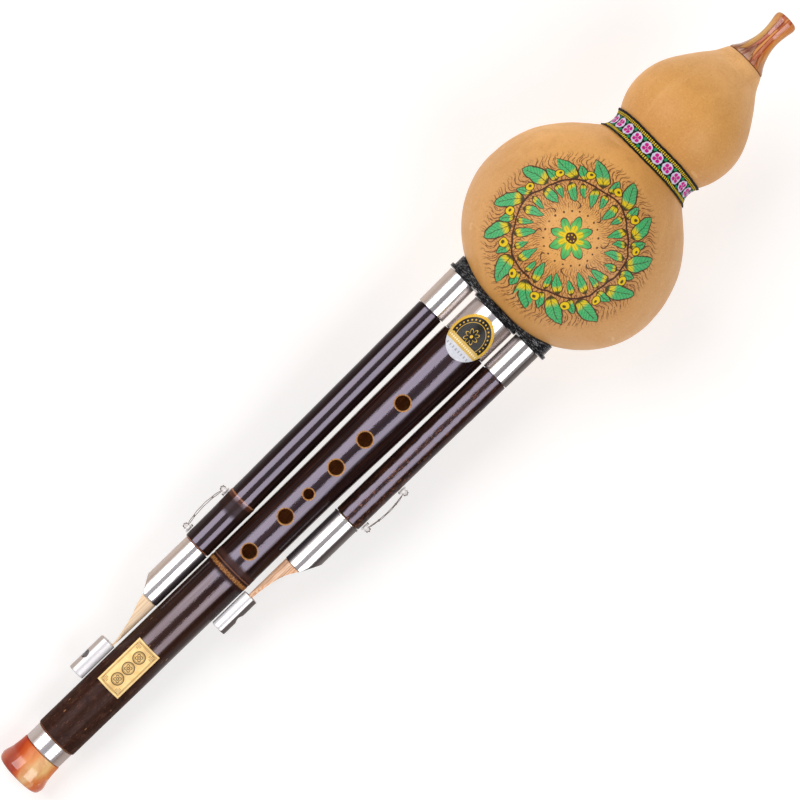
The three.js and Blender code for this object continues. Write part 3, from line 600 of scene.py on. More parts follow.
def mat_drone_bamboo(side):
    d = DRONES[side]
    s = Shader(f"{side}_drone_bamboo", drone_axes(d))
    arc, fib, fine, cloud, base = bamboo_kit(s, 6.9, rgb(27, 16, 13), rgb(54, 28, 19) if side == "left" else rgb(62, 34, 22))
    jag = s.noise(s.vec(s.x * 0.25, arc * 0.8, 9.0), 1.0, 3, 0.6)
    if side == "left":
        n = d["node_x"] + 0.5
        bow = s.x + s.cos(arc / 6.9) * 0.5
        dd = bow + (jag - 0.5) * 1.0
        base = s.mix(s.map(s.x, 170, 150) * 0.5, base, rgb(42, 27, 24))
        base = s.mix(s.band(dd, n - 0.6, 1.3, 0.5) * 0.75, base, s.ramp(fine, [(0.3, rgb(66, 36, 26)), (0.7, rgb(112, 64, 44))]))
        base = s.mix(s.band(dd, n + 0.35, 0.30, 0.25) * 0.9, base, s.ramp(fine, [(0.3, rgb(134, 84, 58)), (0.7, rgb(188, 132, 96))]))
        base = s.mix(s.band(dd, n - 4.4, 2.6, 1.8) * 0.6, base, rgb(54, 37, 32))
        fl = s.noise(s.vec(s.x * 0.35, arc * 0.9, 1.0), 1.2, 3, 0.6)
        fleck = s.map(fl, 0.68, 0.74) * s.map(s.x, 165.0, 135.0, 0.1, 0.5)
        # varnish worn dull just below the node, except on its very crest
        dull = s.band(s.x + (jag - 0.5) * 2.0, n - 5.2, 3.6, 1.6)
    else:
        fl = s.noise(s.vec(s.x * 0.5, arc * 1.5, 1.0), 1.2, 4, 0.68)
        lanes = s.noise(s.vec(s.x * 0.018, arc * 0.62, 12.0), 1.0, 2, 0.5)
        turn = arc * (1 / 6.9)
        crest = s.band(turn + (lanes - 0.5) * 0.4, 0.06, 0.16, 0.16)
        outer = s.map(turn, -0.42, -0.6) * s.map(s.x, 246.0, 205.0, 0.12, 0.75)
        inner = s.map(turn, 0.5, 0.7) * 0.12
        spread = s.max(s.max(crest, outer), s.max(inner, s.map(lanes, 0.58, 0.66, 0.05, 0.5)))
        fleck = s.map(fl, 0.60, 0.68) * s.map(spread, 0.0, 0.4) + s.map(fl, 0.50, 0.57) * spread
        fleck = s.clamp(fleck) * s.map(s.noise(s.pos, 0.35, 3, 0.6), 0.40, 0.56, 0.25, 1.0)
        rusty = s.noise(s.vec(s.x * 0.1, arc * 0.5, 7.0), 1.0, 3, 0.6)
        base = s.mix(s.map(rusty, 0.45, 0.7, 0, 0.6), base, rgb(70, 38, 24))
        dull = fleck * 0.35
    base = s.mix(fleck * 0.88, base, s.ramp(s.noise(s.pos, 1.1, 3, 0.6), [(0.3, rgb(66, 38, 27)), (0.5, rgb(104, 62, 42)), (0.75, rgb(186, 120, 80))]))
    if side == "left":
        base = s.mix(s.below(s.x + (jag - 0.5) * 0.25, d["x0"] + 0.42, 0.12), base, rgb(158, 104, 80))
    s.bump(fib, 0.05, 0.15)
    s.bump(fine, 0.012, 0.2)
    s.bump(fl, -0.15, 0.25 if side == "right" else 0.08)
    rough = s.map(cloud, 0.3, 0.8, 0.115, 0.16) + dull * 0.3
    return s.set(Base_Color=base, Roughness=rough, IOR=1.98, Specular_IOR_Level=(0.5 - dull * 0.38) * s.eased(), Specular_Tint=rgb(240, 228, 255))


def mat_cut_bamboo():
    s = Shader("cut_bamboo")
    n = s.noise(s.vec(s.x * 1.2, s.y * 1.2, s.z * 0.4), 1.0, 4, 0.6)
    base = s.ramp(n, [(0.3, rgb(150, 96, 50)), (0.55, rgb(200, 148, 90)), (0.8, rgb(226, 182, 124))])
    # painted shade: darker deeper into the hole
    depth = s.map(s.hypot(s.y, s.z), 9.6, 10.6)
    base = s.mix(depth, rgb(70, 40, 20), base)
    s.bump(n, 0.05, 0.4)
    return s.set(Base_Color=base, Roughness=0.5)


def mat_bore():
    s = Shader("bore_wall")
    n = s.noise(s.vec(s.x * 0.12, s.y, s.z), 1.0, 4, 0.6)
    f = s.noise(s.pos, 2.0, 3, 0.6)
    base = s.ramp(n, [(0.3, rgb(176, 122, 70)), (0.7, rgb(226, 176, 116))])
    base = s.mix(s.map(f, 0.55, 0.8, 0, 0.5), base, rgb(140, 88, 44))
    s.bump(n, 0.1, 0.4)
    return s.set(Base_Color=base, Roughness=0.65)


def mat_metal(name, left, right, a=(0.14, 0.22), b=(0.17, 0.26), satin=0.0, metallic=0.82, tone=(0.66, 0.645, 0.66), lift=(0.0, 0.0)):
    """Polished nickel: fine lines along the tube, faint scratches, duller where seen aslant, where its colour is a
    painted reflection.
    left and right are the colours of that painted reflection on the +y and -y sides."""
    s = Shader(name)
    lines = s.noise(s.vec(s.x * 0.12, s.y * 4.0, s.z * 4.0), 1.0, 3, 0.6)
    scr = s.noise(s.vec(s.x * 4.0, s.y * 0.5, s.z * 0.5), 1.0, 4, 0.62)
    cloud = s.noise(s.pos, 0.14, 3, 0.5)
    f, ny = s.facing(), s.turned_to(1)
    # painted reflection: seen aslant, the tone turns to left on the +y side and to right on the -y side
    edge = s.map(f, *a) * s.map(ny, 0.1, 0.3), s.map(f, *b) * s.map(ny, -0.1, -0.3)
    base = s.mix(edge[0], tone, left)
    base = s.mix(edge[1], base, right)
    base = s.mix(s.map(cloud, 0.4, 0.8, 0, 0.35), base, s.mix(0.12, base, (0.02, 0.02, 0.02)))
    base = s.mix(s.map(scr, 0.62, 0.8, 0, 0.3), base, s.mix(0.25, base, (0.03, 0.03, 0.03)))
    rough = s.map(lines, 0.3, 0.75, 0.13, 0.17) + s.map(scr, 0.6, 0.8, 0.0, 0.05) + (edge[0] + edge[1]) * 0.2 + satin
    if max(lift) > 0:
        s.lift(s.map(ny, 0.3, 0.85, 0, lift[0]) + s.map(ny, -0.3, -0.85, 0, lift[1]))
    s.bump(lines, 0.002, 0.15)
    return s.set(Base_Color=base, Metallic=metallic, Roughness=rough, Specular_IOR_Level=0.35)


def mat_cast_metal(side, d, surface):
    """Cast white metal, brown in its hollows and on the rosettes' rims; the bow is tarnished."""
    s = Shader(f"{side}_cast_metal", drone_axes(d))
    n = s.noise(s.pos, 2.4, 4, 0.62)
    along = 14.0 - s.abs(s.x - (d["loop_x"] + 14.0))
    v = s.y * float(d["side"]) - (surface + 0.3)
    bow = s.map(along, 3.6, 4.4)
    rim = s.map(s.hypot(along - 2.2, v - 2.45), 0.86, 1.02) * s.map(v, 1.7, 2.0) * (1.0 - bow)
    block = s.map(v, 2.7, 2.1) * (1.0 - bow)
    hollow = s.map(s.edges() + (n - 0.5) * 0.06, 0.53, 0.44) * s.map(v, 2.1, 2.7, 0.4, 1.0)
    base = s.mix(s.map(n, 0.4, 0.75), (0.94, 0.92, 0.92), (0.80, 0.77, 0.76))
    base = s.mix(hollow * 0.6, base, rgb(96, 70, 60))
    base = s.mix(rim * s.max(s.map(n, 0.36, 0.56, 0.2, 0.95), s.map(v, 2.7, 3.0, 0, 0.95)), base, rgb(92, 66, 56))
    base = s.mix(bow * s.map(n, 0.35, 0.7, 0.95, 0.75), base, rgb(104, 84, 76))
    s.lift(block * 1.0)
    s.bump(n, 0.04, 0.5)
    return s.set(Base_Color=base, Metallic=0.5 - block * 0.38, Roughness=s.map(n, 0.3, 0.8, 0.24, 0.38) + hollow * 0.2 + bow * 0.15)


def mat_gold_plaque():
    s = Shader("gold_plaque")
    P = PLAQUE
    r = P["r"] + P["t"]
    arc = unit_tube(s, r)
    xm, xh = (P["x0"] + P["x1"]) / 2, (P["x1"] - P["x0"]) / 2
    yh = math.radians(P["half"]) * r
    u, v = s.x - xm, arc
    au, av = s.abs(u), s.abs(v)
    brush = s.noise(s.vec(s.x * 8.0, v * 0.4, 0.0), 1.0, 3, 0.6)
    cloud = s.noise(s.pos, 0.35, 3, 0.6)
    base = s.mix(s.map(cloud, 0.35, 0.75), rgb(244, 208, 144), rgb(234, 192, 122))
    base = s.mix(s.map(brush, 0.55, 0.8, 0, 0.35), base, rgb(216, 168, 90))
    # distance in from the plate's edge
    e_ = s.min(xh - au, yh - av)
    dark = rgb(120, 84, 42)
    line = s.band(e_, 1.15, 0.12, 0.10)
    dash = s.map(s.band(s.fract((u + v) / 0.62), 0.5, 0.3, 0.12), 0.0, 1.0)
    base = s.mix(s.below(e_, 0.75, 0.1) * 0.5, base, rgb(252, 224, 160))
    base = s.mix(line * dash * 0.9, base, dark)
    base = s.mix(s.band(e_, 1.62, 0.09, 0.07) * 0.85, base, rgb(92, 60, 30))
    # knot of loops in each corner
    cu, cv = au - (xh - 2.75), av - (yh - 2.75)
    kr = s.hypot(cu, cv)
    ka = s.atan2(cv, cu)
    knot = s.band(kr - s.abs(s.cos(ka * 2.0)) * 0.75, 0.48, 0.10, 0.09)
    knot = s.max(knot, s.band(s.max(s.abs(cu), s.abs(cv)), 1.25, 0.08, 0.08) * s.below(s.min(s.abs(cu), s.abs(cv)), 0.75, 0.1))
    knot = s.max(knot, s.band(s.abs(cu) + s.abs(cv), 0.55, 0.09, 0.08))
    base = s.mix(knot * 0.8, base, rgb(124, 104, 84))
    # three coin medallions along the middle
    mu = s.wrap(u, 3.35)
    mid = s.below(au, 10.0, 0.05)
    mr = s.hypot(mu, v)
    ma = s.atan2(v, mu)
    med = s.max(s.band(mr, 2.8, 0.24, 0.08), s.band(mr, 2.25, 0.08, 0.07))
    med = s.max(med, s.band(mr - s.abs(s.sin(ma * 2.0)) * 0.85, 0.85, 0.20, 0.09))
    med = s.max(med, s.band(s.max(s.abs(mu), s.abs(v)), 0.48, 0.16, 0.06))
    med = med * mid
    base = s.mix(med * 0.88, base, rgb(66, 48, 30))
    cut = s.max(s.max(line, knot), med)
    s.bump(cut, -0.10, 0.7)
    s.bump(brush, 0.01, 0.4)
    return s.set(Base_Color=base, Metallic=0.3, Roughness=s.map(cloud, 0.3, 0.8, 0.4, 0.5) + cut * 0.2, Specular_IOR_Level=0.35)


def mat_label():
    s = Shader("label_foil")
    L = LABEL
    u, v = (s.x - L["x"]) / L["rx"], s.y / L["ry"]
    rr = s.hypot(u, v)
    ru, rv = s.x - L["x"], s.y * (L["rx"] / L["ry"])
    ang = s.atan2(rv, ru)
    grain = s.noise(s.pos, 2.2, 3, 0.6)
    gold = s.mix(s.map(grain, 0.3, 0.7), rgb(222, 172, 44), rgb(238, 196, 84))
    black = s.mix(s.map(grain, 0.35, 0.65), rgb(8, 8, 8), rgb(34, 34, 31))
    silver = s.mix(s.map(s.noise(s.vec(s.x * 6.0, s.y * 0.5, 0.0), 1.0, 2), 0.3, 0.7), rgb(196, 200, 212), rgb(222, 224, 232))
    base = s.mix(s.below(s.hypot(ru + 0.6, rv), 7.9, 0.12), black, s.mix(s.map(grain, 0.4, 0.6), rgb(18, 18, 17), rgb(44, 44, 40)))
    # a ring of plain beads and a thin ring
    bead = s.hypot((s.fract(ang * (28 / TAU)) - 0.5) * (TAU * 9.05 / 28), s.hypot(ru, rv) - 9.05)
    base = s.mix(s.below(bead, 0.42, 0.12) * 0.9, base, gold)
    base = s.mix(s.band(s.hypot(ru, rv), 7.75, 0.14, 0.10) * 0.85, base, gold)
    # a plain eight-petal flower in the middle
    fr, fa = s.hypot(ru - 0.8, rv), s.atan2(rv, ru - 0.8)
    pet = s.band(fr - s.abs(s.cos(fa * 4.0)) * 2.0, 1.9, 0.22, 0.12)
    base = s.mix(pet * 0.9, base, gold)
    base = s.mix(s.below(fr, 0.8, 0.12), base, gold)
    # outer ring, the gold band and the silver part towards the finger holes
    base = s.mix(s.map(rr, 0.868, 0.888), base, gold)
    left = s.below(s.x, 279.9, 0.08)
    base = s.mix(left, base, s.mix(s.map(grain, 0.3, 0.7), rgb(206, 168, 78), rgb(222, 188, 106)))
    lozenge = s.abs((s.fract(s.y / 1.05) - 0.5) * 1.05) + s.abs(s.x - 278.25) * 0.62
    base = s.mix(s.below(lozenge, 0.42, 0.10) * s.below(s.abs(s.y), 8.0, 0.2), base, rgb(246, 232, 190))
    base = s.mix(s.below(s.x, 276.6, 0.08), base, silver)
    tick = s.band(s.fract(s.y / 1.7), 0.5, 0.20, 0.06) * s.band(s.x, 274.7, 0.62, 0.12) * s.below(s.abs(s.y), 6.2, 0.2)
    base = s.mix(tick * 0.55, base, rgb(104, 108, 122))
    s.bump(grain, 0.01, 0.3)
    return s.set(Base_Color=base, Roughness=s.map(grain, 0.3, 0.8, 0.34, 0.46), Specular_IOR_Level=0.22, Coat_Weight=0.08, Coat_Roughness=0.12)


def mat_rubber():
    s = Shader("black_rubber")
    n = s.noise(s.pos, 0.55, 4, 0.6)
    f = s.noise(s.pos, 2.5, 3, 0.6)
    glint = s.noise(s.vec(s.x * 2.6, s.y * 0.55, s.z * 0.55), 1.0, 4, 0.68)
    # glossy spots: a painted glint in bluish grey on the colour, and a stronger reflection
    glossy_glint = s.map(glint, 0.53, 0.60)
    base = s.mix(s.map(n, 0.35, 0.75), rgb(6, 6, 8), rgb(15, 16, 19))
    base = s.mix(glossy_glint * 0.35, base, rgb(84, 92, 106))
    s.bump(n, 0.6, 0.4)
    s.bump(glint, 0.35, 0.6)
    return s.set(Base_Color=base, Roughness=s.map(f, 0.3, 0.75, 0.08, 0.18), Specular_IOR_Level=0.10 + glossy_glint * 1.1)


def mat_bell():
    """Marbled resin: dark red on the left, cream in the middle, orange on the right, with soft swirls."""
    s = Shader("marbled_resin")
    swirl = s.noise(s.vec(s.x * 0.075, s.y * 0.07, s.z * 0.07), 1.1, 2, 0.45, 0.9)
    swirl2 = s.noise(s.vec(s.x * 0.10 + 7.0, s.y * 0.16, s.z * 0.12), 1.0, 2, 0.5, 1.0)
    vein = s.noise(s.vec(s.x * 0.16, s.y * 0.25, s.z * 0.2), 1.0, 3, 0.5, 1.2)
    warp = s.map((s.y + (swirl - 0.5) * 7.0) / 12.2, -1.0, 1.0, smooth=False)
    rim = s.ramp(warp, [
        (0.04, rgb(190, 96, 56)), (0.13, rgb(206, 100, 44)), (0.24, rgb(220, 136, 76)), (0.36, rgb(232, 190, 138)),
        (0.47, rgb(228, 162, 108)), (0.54, rgb(206, 92, 40)), (0.64, rgb(168, 54, 28)), (0.80, rgb(160, 58, 36)), (0.96, rgb(178, 92, 66))])
    neck = s.ramp(warp, [
        (0.04, rgb(196, 104, 58)), (0.13, rgb(212, 128, 64)), (0.24, rgb(232, 186, 124)), (0.40, rgb(236, 190, 136)),
        (0.50, rgb(232, 154, 98)), (0.60, rgb(224, 136, 84)), (0.70, rgb(206, 92, 40)), (0.84, rgb(176, 62, 34)), (0.96, rgb(166, 78, 58))])
    base = s.mix(s.map(s.x + (swirl2 - 0.5) * 4.0, 4.0, 9.5), rim, neck)
    base = s.mix(s.map(swirl2, 0.56, 0.68) * 0.3, base, rgb(200, 96, 42))
    pale = s.map(s.y, 3.0, -3.0)
    base = s.mix(s.map(swirl2, 0.42, 0.32) * 0.4 * pale, base, rgb(240, 200, 152))
    base = s.mix(s.map(swirl2, 0.46, 0.30) * 0.25 * (1.0 - pale), base, rgb(160, 60, 32))
    base = s.mix(s.band(vein, 0.5, 0.010, 0.03) * 0.12 * pale, base, rgb(246, 214, 174))
    # painted shade: a darker red at the bell's end rim
    base = s.mix(s.map(s.x, 1.6, 0.2) * 0.3, base, rgb(150, 70, 44))
    s.bump(s.noise(s.pos, 0.22, 2), 0.04, 0.08)
    return s.set(Base_Color=base, Roughness=s.map(vein, 0.3, 0.7, 0.06, 0.08), IOR=1.62,
                 Specular_IOR_Level=0.62 * s.eased(0.16, 0.34, 0.25) * s.map(s.x, 9.4, 8.0, 0.12, 1.0))


def mat_mouthpiece():
    """Amber resin: olive gold on one flank, orange on the other, red-brown lines between rosy bands, which are partly
    painted reflections of the lights.
    """
    s = Shader("amber_resin")
    a = s.atan2(s.y - 3.5, s.z)
    along = s.noise(s.vec(s.x * 0.035, s.sin(a) * 1.4, s.cos(a) * 1.4), 1.6, 2, 0.5, 0.3)
    vein = s.noise(s.vec(s.x * 0.08, s.sin(a) * 3.5, s.cos(a) * 3.5), 1.3, 3, 0.55, 0.5)
    q = s.map(s.sin(a) + (along - 0.5) * 0.16, -1.0, 1.0, smooth=False)
    # the two rosy bands where the lights reflect are partly the resin's colour, partly painted reflection
    base = s.ramp(q, [
        (0.02, rgb(190, 130, 78)), (0.13, rgb(212, 138, 66)), (0.25, rgb(206, 118, 46)), (0.29, rgb(148, 54, 22)), (0.325, rgb(190, 98, 68)),
        (0.42, rgb(204, 118, 86)), (0.455, rgb(158, 66, 30)), (0.49, rgb(228, 160, 90)), (0.54, rgb(222, 148, 76)), (0.57, rgb(112, 30, 16)), (0.61, rgb(192, 104, 84)),
        (0.70, rgb(196, 112, 92)), (0.74, rgb(116, 36, 20)), (0.785, rgb(192, 134, 66)), (0.90, rgb(212, 166, 96)), (0.98, rgb(186, 146, 92))])
    base = s.mix(s.map(along, 0.60, 0.74, 0, 0.35), base, rgb(224, 160, 96))
    base = s.mix(s.map(along, 0.42, 0.30, 0, 0.4), base, rgb(150, 60, 28))
    # near the lip the colour deepens
    base = s.mix(s.map(s.x, 476.0, 483.5, 0, 0.45), base, rgb(188, 92, 38))
    # flame-shaped tongues that rise from the skirt
    tri = s.abs(s.fract(a * (7.0 / TAU) + 0.22) - 0.5) * 2.0
    reach = 459.4 + s.pow(1.0 - tri, 1.5) * 8.5 + (vein - 0.5) * 5.0
    share = s.map(s.sin(a), -0.5, 0.05, 0.3, 1.0)
    flame = s.map(s.x - reach, 0.7, -0.7) * share
    base = s.mix(flame * 0.85, base, s.ramp(vein, [(0.36, rgb(112, 66, 48)), (0.5, rgb(160, 112, 92)), (0.62, rgb(206, 176, 166))]))
    base = s.mix(s.band(s.x - reach, 0.4, 0.55, 0.6) * 0.9 * share, base, rgb(104, 34, 16))
    # a dark red patch under the lip
    base = s.mix(s.map(s.x, 477.5, 479.0) * s.map(s.x, 483.2, 482.4) * s.band(q, 0.60, 0.13, 0.05) * 0.75, base, rgb(136, 34, 20))
    base = s.mix(s.map(s.x, 465.5, 459.5, 0, 0.5) * s.map(s.abs(s.sin(a)), 0.45, 0.8), base, rgb(158, 100, 46))
    base = s.mix(s.map(s.x, 459.2, 458.7) * 0.35, base, rgb(140, 86, 54))
    base = s.mix(s.band(vein, 0.52, 0.02, 0.03) * 0.3, base, rgb(240, 196, 146))
    s.bump(s.noise(s.pos, 0.35, 2), 0.05, 0.08)
    return s.set(Base_Color=base, Roughness=s.map(vein, 0.3, 0.7, 0.06, 0.11), IOR=1.6, Specular_IOR_Level=0.55 * s.eased(0.18, 0.36, 0.2))


def mat_wood(name, pale, deep, seed, dark, from_x=0.0):
    s = Shader(name)
    g = s.noise(s.vec(s.x * 0.045 + seed, s.y * 1.7, s.z * 1.7), 1.3, 4, 0.62, 0.35)
    f = s.noise(s.vec(s.x * 0.25 + seed, s.y * 7.0, s.z * 7.0), 1.0, 3, 0.6)
    c = s.noise(s.vec(s.x * 0.06, s.y * 0.2, s.z * 0.2 + seed), 1.0, 3, 0.5)
    base = s.mix(s.map(g, 0.38, 0.64), pale, deep)
    base = s.mix(s.map(f, 0.55, 0.78, 0, 0.6), base, tuple(v * 0.66 for v in deep))
    base = s.mix(s.map(c, 0.5, 0.8, 0, 0.45), base, tuple(min(1, v * 1.12) for v in pale))
    h = s.noise(s.vec(s.x * 0.03 + seed, s.y * 1.1, s.z * 1.1 + 5.0), 1.1, 3, 0.6, 0.3)
    base = s.mix(s.map(h, 0.54, 0.62, 0, dark) * s.map(s.x, from_x, from_x + 8.0), base, s.mix(s.map(f, 0.35, 0.65), rgb(92, 66, 52), rgb(136, 110, 92)))
    s.lift(0.7)
    s.bump(g, 0.05, 0.35)
    s.bump(f, 0.03, 0.45)
    return s.set(Base_Color=base, Roughness=s.map(f, 0.3, 0.8, 0.46, 0.6))


def mat_ribbon():
    s = Shader("woven_ribbon")
    u, v = s.attr("uu"), s.attr("vv")          # along and across, in mm
    pitch = RIBBON_PITCH
    q = 0.22                                    # one stitch
    uq = (s.floor(u / q) + 0.5) * q
    vq = (s.floor(v / q) + 0.5) * q
    cu = s.wrap(uq, pitch / 2)                  # 0 at a flower's middle
    rr, aa = s.hypot(cu, vq), s.atan2(vq, cu)
    weave = s.hash(s.floor(u / q) * 7.0 + s.floor(v / q) * 3.1)
    base = s.mix(weave, rgb(10, 9, 12), rgb(24, 22, 28))
    # leaves between the flowers, a pair on each side
    lu = s.wrap(uq + pitch / 2, pitch / 2)
    leafd = s.hypot(lu * 0.95, s.abs(vq) - 2.25)
    base = s.mix(s.below(leafd, 0.72, 0.06), base, s.mix(weave, rgb(0, 132, 76), rgb(16, 176, 108)))
    # the flower: a pale scalloped disc, four magenta petals with light notches, a dark heart
    lobed = rr - s.abs(s.cos(aa * 4.0)) * 0.22
    base = s.mix(s.below(lobed, 2.62, 0.05), base, s.mix(weave, rgb(208, 204, 238), rgb(238, 234, 252)))
    pet = rr - s.pow(s.abs(s.cos(aa * 2.0 + math.pi / 2)), 0.26) * 2.22
    inside = s.below(pet, 0.0, 0.06) * s.map(rr, 0.24, 0.36) * s.map(s.min(s.abs(cu), s.abs(vq)), 0.06, 0.16)
    base = s.mix(inside, base, s.mix(weave, rgb(200, 8, 130), rgb(226, 30, 158)))
    base = s.mix(s.below(rr, 0.30, 0.06), base, rgb(70, 14, 50))
    # yellow bars square to each edge, split by a dark thread
    av = s.abs(v)
    row = s.band(av, 3.70, 0.60, 0.04)
    bars = s.band(s.fract(u / BAR_PITCH), 0.5, 0.29, 0.05) * (1.0 - s.band(av, 3.70, 0.13, 0.05) * s.map(v, -0.5, 0.5, 0.0, 0.9))
    base = s.mix(row, base, rgb(10, 9, 9))
    base = s.mix(row * bars, base, s.mix(weave, rgb(236, 196, 16), rgb(255, 232, 70)))
    edge = s.map(av, 4.36, 4.42)
    base = s.mix(edge, base, s.mix(s.hash(s.floor(u / 0.30) + 0.5), rgb(9, 9, 12), rgb(34, 33, 40)))
    # threads, with painted shade in the grooves between them
    tw = s.abs(s.sin(u * (math.pi / q))) * 0.6 + s.abs(s.sin(v * (math.pi / q) + s.floor(u / q) * 1.57)) * 0.4
    fuzz = s.noise(s.pos, 6.0, 3, 0.7)
    base = s.mix((1.0 - tw) * 0.35, base, rgb(8, 6, 8))
    s.bump(tw, 0.10, 0.8)
    s.bump(fuzz, 0.05, 0.4)
    return s.set(Base_Color=base, Roughness=s.map(fuzz, 0.3, 0.8, 0.68, 0.86), Specular_IOR_Level=0.2)


def mat_reed_brass():
    s = Shader("reed_brass")
    l = s.noise(s.vec(s.x * 9.0, s.y * 0.7, s.z * 0.7), 1.0, 3, 0.6)
    c = s.noise(s.pos, 0.5, 3)
    base = s.mix(s.map(c, 0.35, 0.75), rgb(216, 184, 110), rgb(188, 150, 76))
    s.bump(l, 0.02, 0.5)
    return s.set(Base_Color=base, Metallic=1.0, Roughness=s.map(l, 0.3, 0.8, 0.24, 0.4))


def mat_dark_resin():
    s = Shader("dark_resin")
    n = s.noise(s.pos, 0.6, 4, 0.6)
    f = s.noise(s.pos, 3.0, 2, 0.6)
    base = s.mix(s.map(n, 0.35, 0.75), rgb(28, 28, 31), rgb(48, 48, 52))
    s.bump(f, 0.03, 0.4)
    return s.set(Base_Color=base, Roughness=s.map(f, 0.3, 0.8, 0.4, 0.55))


def mat_floor():
    """White paper on a softly glowing table."""
    s = Shader("floor_paper")
    n = s.noise(s.pos, 0.02, 3, 0.5)
    f = s.noise(s.pos, 1.5, 3, 0.6)
    base = s.mix(s.map(n, 0.3, 0.7), (0.60, 0.60, 0.60), (0.62, 0.62, 0.62))
    s.bump(f, 0.03, 0.15)
    return s.set(Base_Color=base, Roughness=0.85, Specular_IOR_Level=0.2, Emission_Color=(1.0, 0.99, 0.98), Emission_Strength=0.5)


# ------------------------------------------------------------------ mesh kit
def lerp(tab, x):
    if x <= tab[0][0]:
        return tab[0][1]
    for (a, p), (b, q) in zip(tab, tab[1:]):
        if x <= b:
            return p + (q - p) * (x - a) / (b - a)
    return tab[-1][1]


def smooth(pts, step=0.6):
    """A Catmull-Rom curve through the points."""
    P = [np.array(p, float) for p in pts]
    P = [2 * P[0] - P[1]] + P + [2 * P[-1] - P[-2]]
    out = []
    for i in range(1, len(P) - 2):
        p0, p1, p2, p3 = P[i - 1:i + 3]
        t0 = 0.0
        t1 = t0 + np.linalg.norm(p1 - p0) ** 0.5
        t2 = t1 + np.linalg.norm(p2 - p1) ** 0.5
        t3 = t2 + np.linalg.norm(p3 - p2) ** 0.5
        n = max(1, int(math.ceil(np.linalg.norm(p2 - p1) / step)))
        for t in np.linspace(t1, t2, n, endpoint=False):
            a1 = (t1 - t) / (t1 - t0) * p0 + (t - t0) / (t1 - t0) * p1
            a2 = (t2 - t) / (t2 - t1) * p1 + (t - t1) / (t2 - t1) * p2
            a3 = (t3 - t) / (t3 - t2) * p2 + (t - t2) / (t3 - t2) * p3
            b1 = (t2 - t) / (t2 - t0) * a1 + (t - t0) / (t2 - t0) * a2
            b2 = (t3 - t) / (t3 - t1) * a2 + (t - t1) / (t3 - t1) * a3
            out.append(tuple((t2 - t) / (t2 - t1) * b1 + (t - t1) / (t2 - t1) * b2))
    out.append(tuple(P[-2]))
    return out


def fillet(pts, closed=True, n=4):
    """Rounds the corners that have a third value, their radius."""
    out = []
    m = len(pts)
    for i, p in enumerate(pts):
        r = p[2] if len(p) > 2 else 0.0
        if not r or (not closed and i in (0, m - 1)):
            out.append((p[0], p[1]))
            continue
        a, c, b = (np.array(pts[(i + k) % m][:2], float) for k in (-1, 0, 1))
        da, db = np.linalg.norm(a - c), np.linalg.norm(b - c)
        r = min(r, da * 0.49, db * 0.49)
        s0, s1 = c + (a - c) / da * r, c + (b - c) / db * r
        for j in range(n + 1):
            t = j / n
            out.append(tuple((1 - t) ** 2 * s0 + 2 * t * (1 - t) * c + t * t * s1))
    return out


def split_long(prof, step, closed=True):
    """Adds points so that no stretch of the profile is longer than step."""
    out = []
    for i, p in enumerate(prof):
        if i == len(prof) - 1 and not closed:
            out.append(p)
            break
        q = prof[(i + 1) % len(prof)]
        d = math.hypot(q[0] - p[0], q[1] - p[1])
        n = max(1, int(math.ceil(d / step)))
        for j in range(n):
            out.append((p[0] + (q[0] - p[0]) * j / n, p[1] + (q[1] - p[1]) * j / n))
    return out


class Build:
    def __init__(self):
        self.v, self.f, self.mi = [], [], []

    def ring(self, pts):
        i = len(self.v)
        self.v.extend(pts)
        return list(range(i, i + len(pts)))

    def point(self, p):
        self.v.append(p)
        return len(self.v) - 1

    def join(self, a, b, mi=0, closed=True):
        n = len(a)
        for k in range(n if closed else n - 1):
            j = (k + 1) % n
            self.f.append((a[k], a[j], b[j], b[k]))
            self.mi.append(mi)

    def fan(self, ring, c, mi=0):
        n = len(ring)
        for k in range(n):
            self.f.append((ring[k], ring[(k + 1) % n], c))
            self.mi.append(mi)


def turned(prof, segs, b=None, closed=True, mi=0, move=None, y0=0.0, cut=None):
    """Turns the profile of (x, r) about the x axis. move(x, angle, r) gives a point's own (x, y, z)."""
    b = b or Build()
    rings = []
    for x, r in prof:
        if r < 1e-6:
            p = (x, y0, 0.0) if move is None else move(x, 0.0, 0.0)
            rings.append([b.point(p)])
            continue
        pts = []
        for k in range(segs):
            t = TAU * (k + 0.5) / segs
            pts.append((x, y0 + r * math.cos(t), r * math.sin(t)) if move is None else move(x, t, r))
        rings.append(b.ring(pts))
    pairs = list(zip(rings, rings[1:])) + ([(rings[-1], rings[0])] if closed else [])
    for i, (p, q) in enumerate(pairs):
        m = mi(prof[i], prof[(i + 1) % len(prof)]) if callable(mi) else mi
        if len(p) == 1 and len(q) == 1:
            continue
        if len(p) == 1:
            b.fan(q, p[0], m)
        elif len(q) == 1:
            b.fan(p, q[0], m)
        else:
            b.join(p, q, m)
    return b


def mesh_from(name, b, merge=0.0, scale=MM):
    me = bpy.data.meshes.new(name)
    me.from_pydata([(x * scale, y * scale, z * scale) for x, y, z in b.v], [], b.f)
    if any(b.mi):
        me.polygons.foreach_set("material_index", b.mi)
    bm = bmesh.new()
    bm.from_mesh(me)
    if merge:
        bmesh.ops.remove_doubles(bm, verts=bm.verts, dist=merge * scale)
        bmesh.ops.dissolve_degenerate(bm, edges=bm.edges, dist=merge * scale * 0.2)
    bmesh.ops.recalc_face_normals(bm, faces=bm.faces)
    bm.to_mesh(me)
    bm.free()
    return me


def finish_mesh(me, sharp):
    me.shade_smooth()
    me.set_sharp_from_angle(angle=math.radians(sharp))


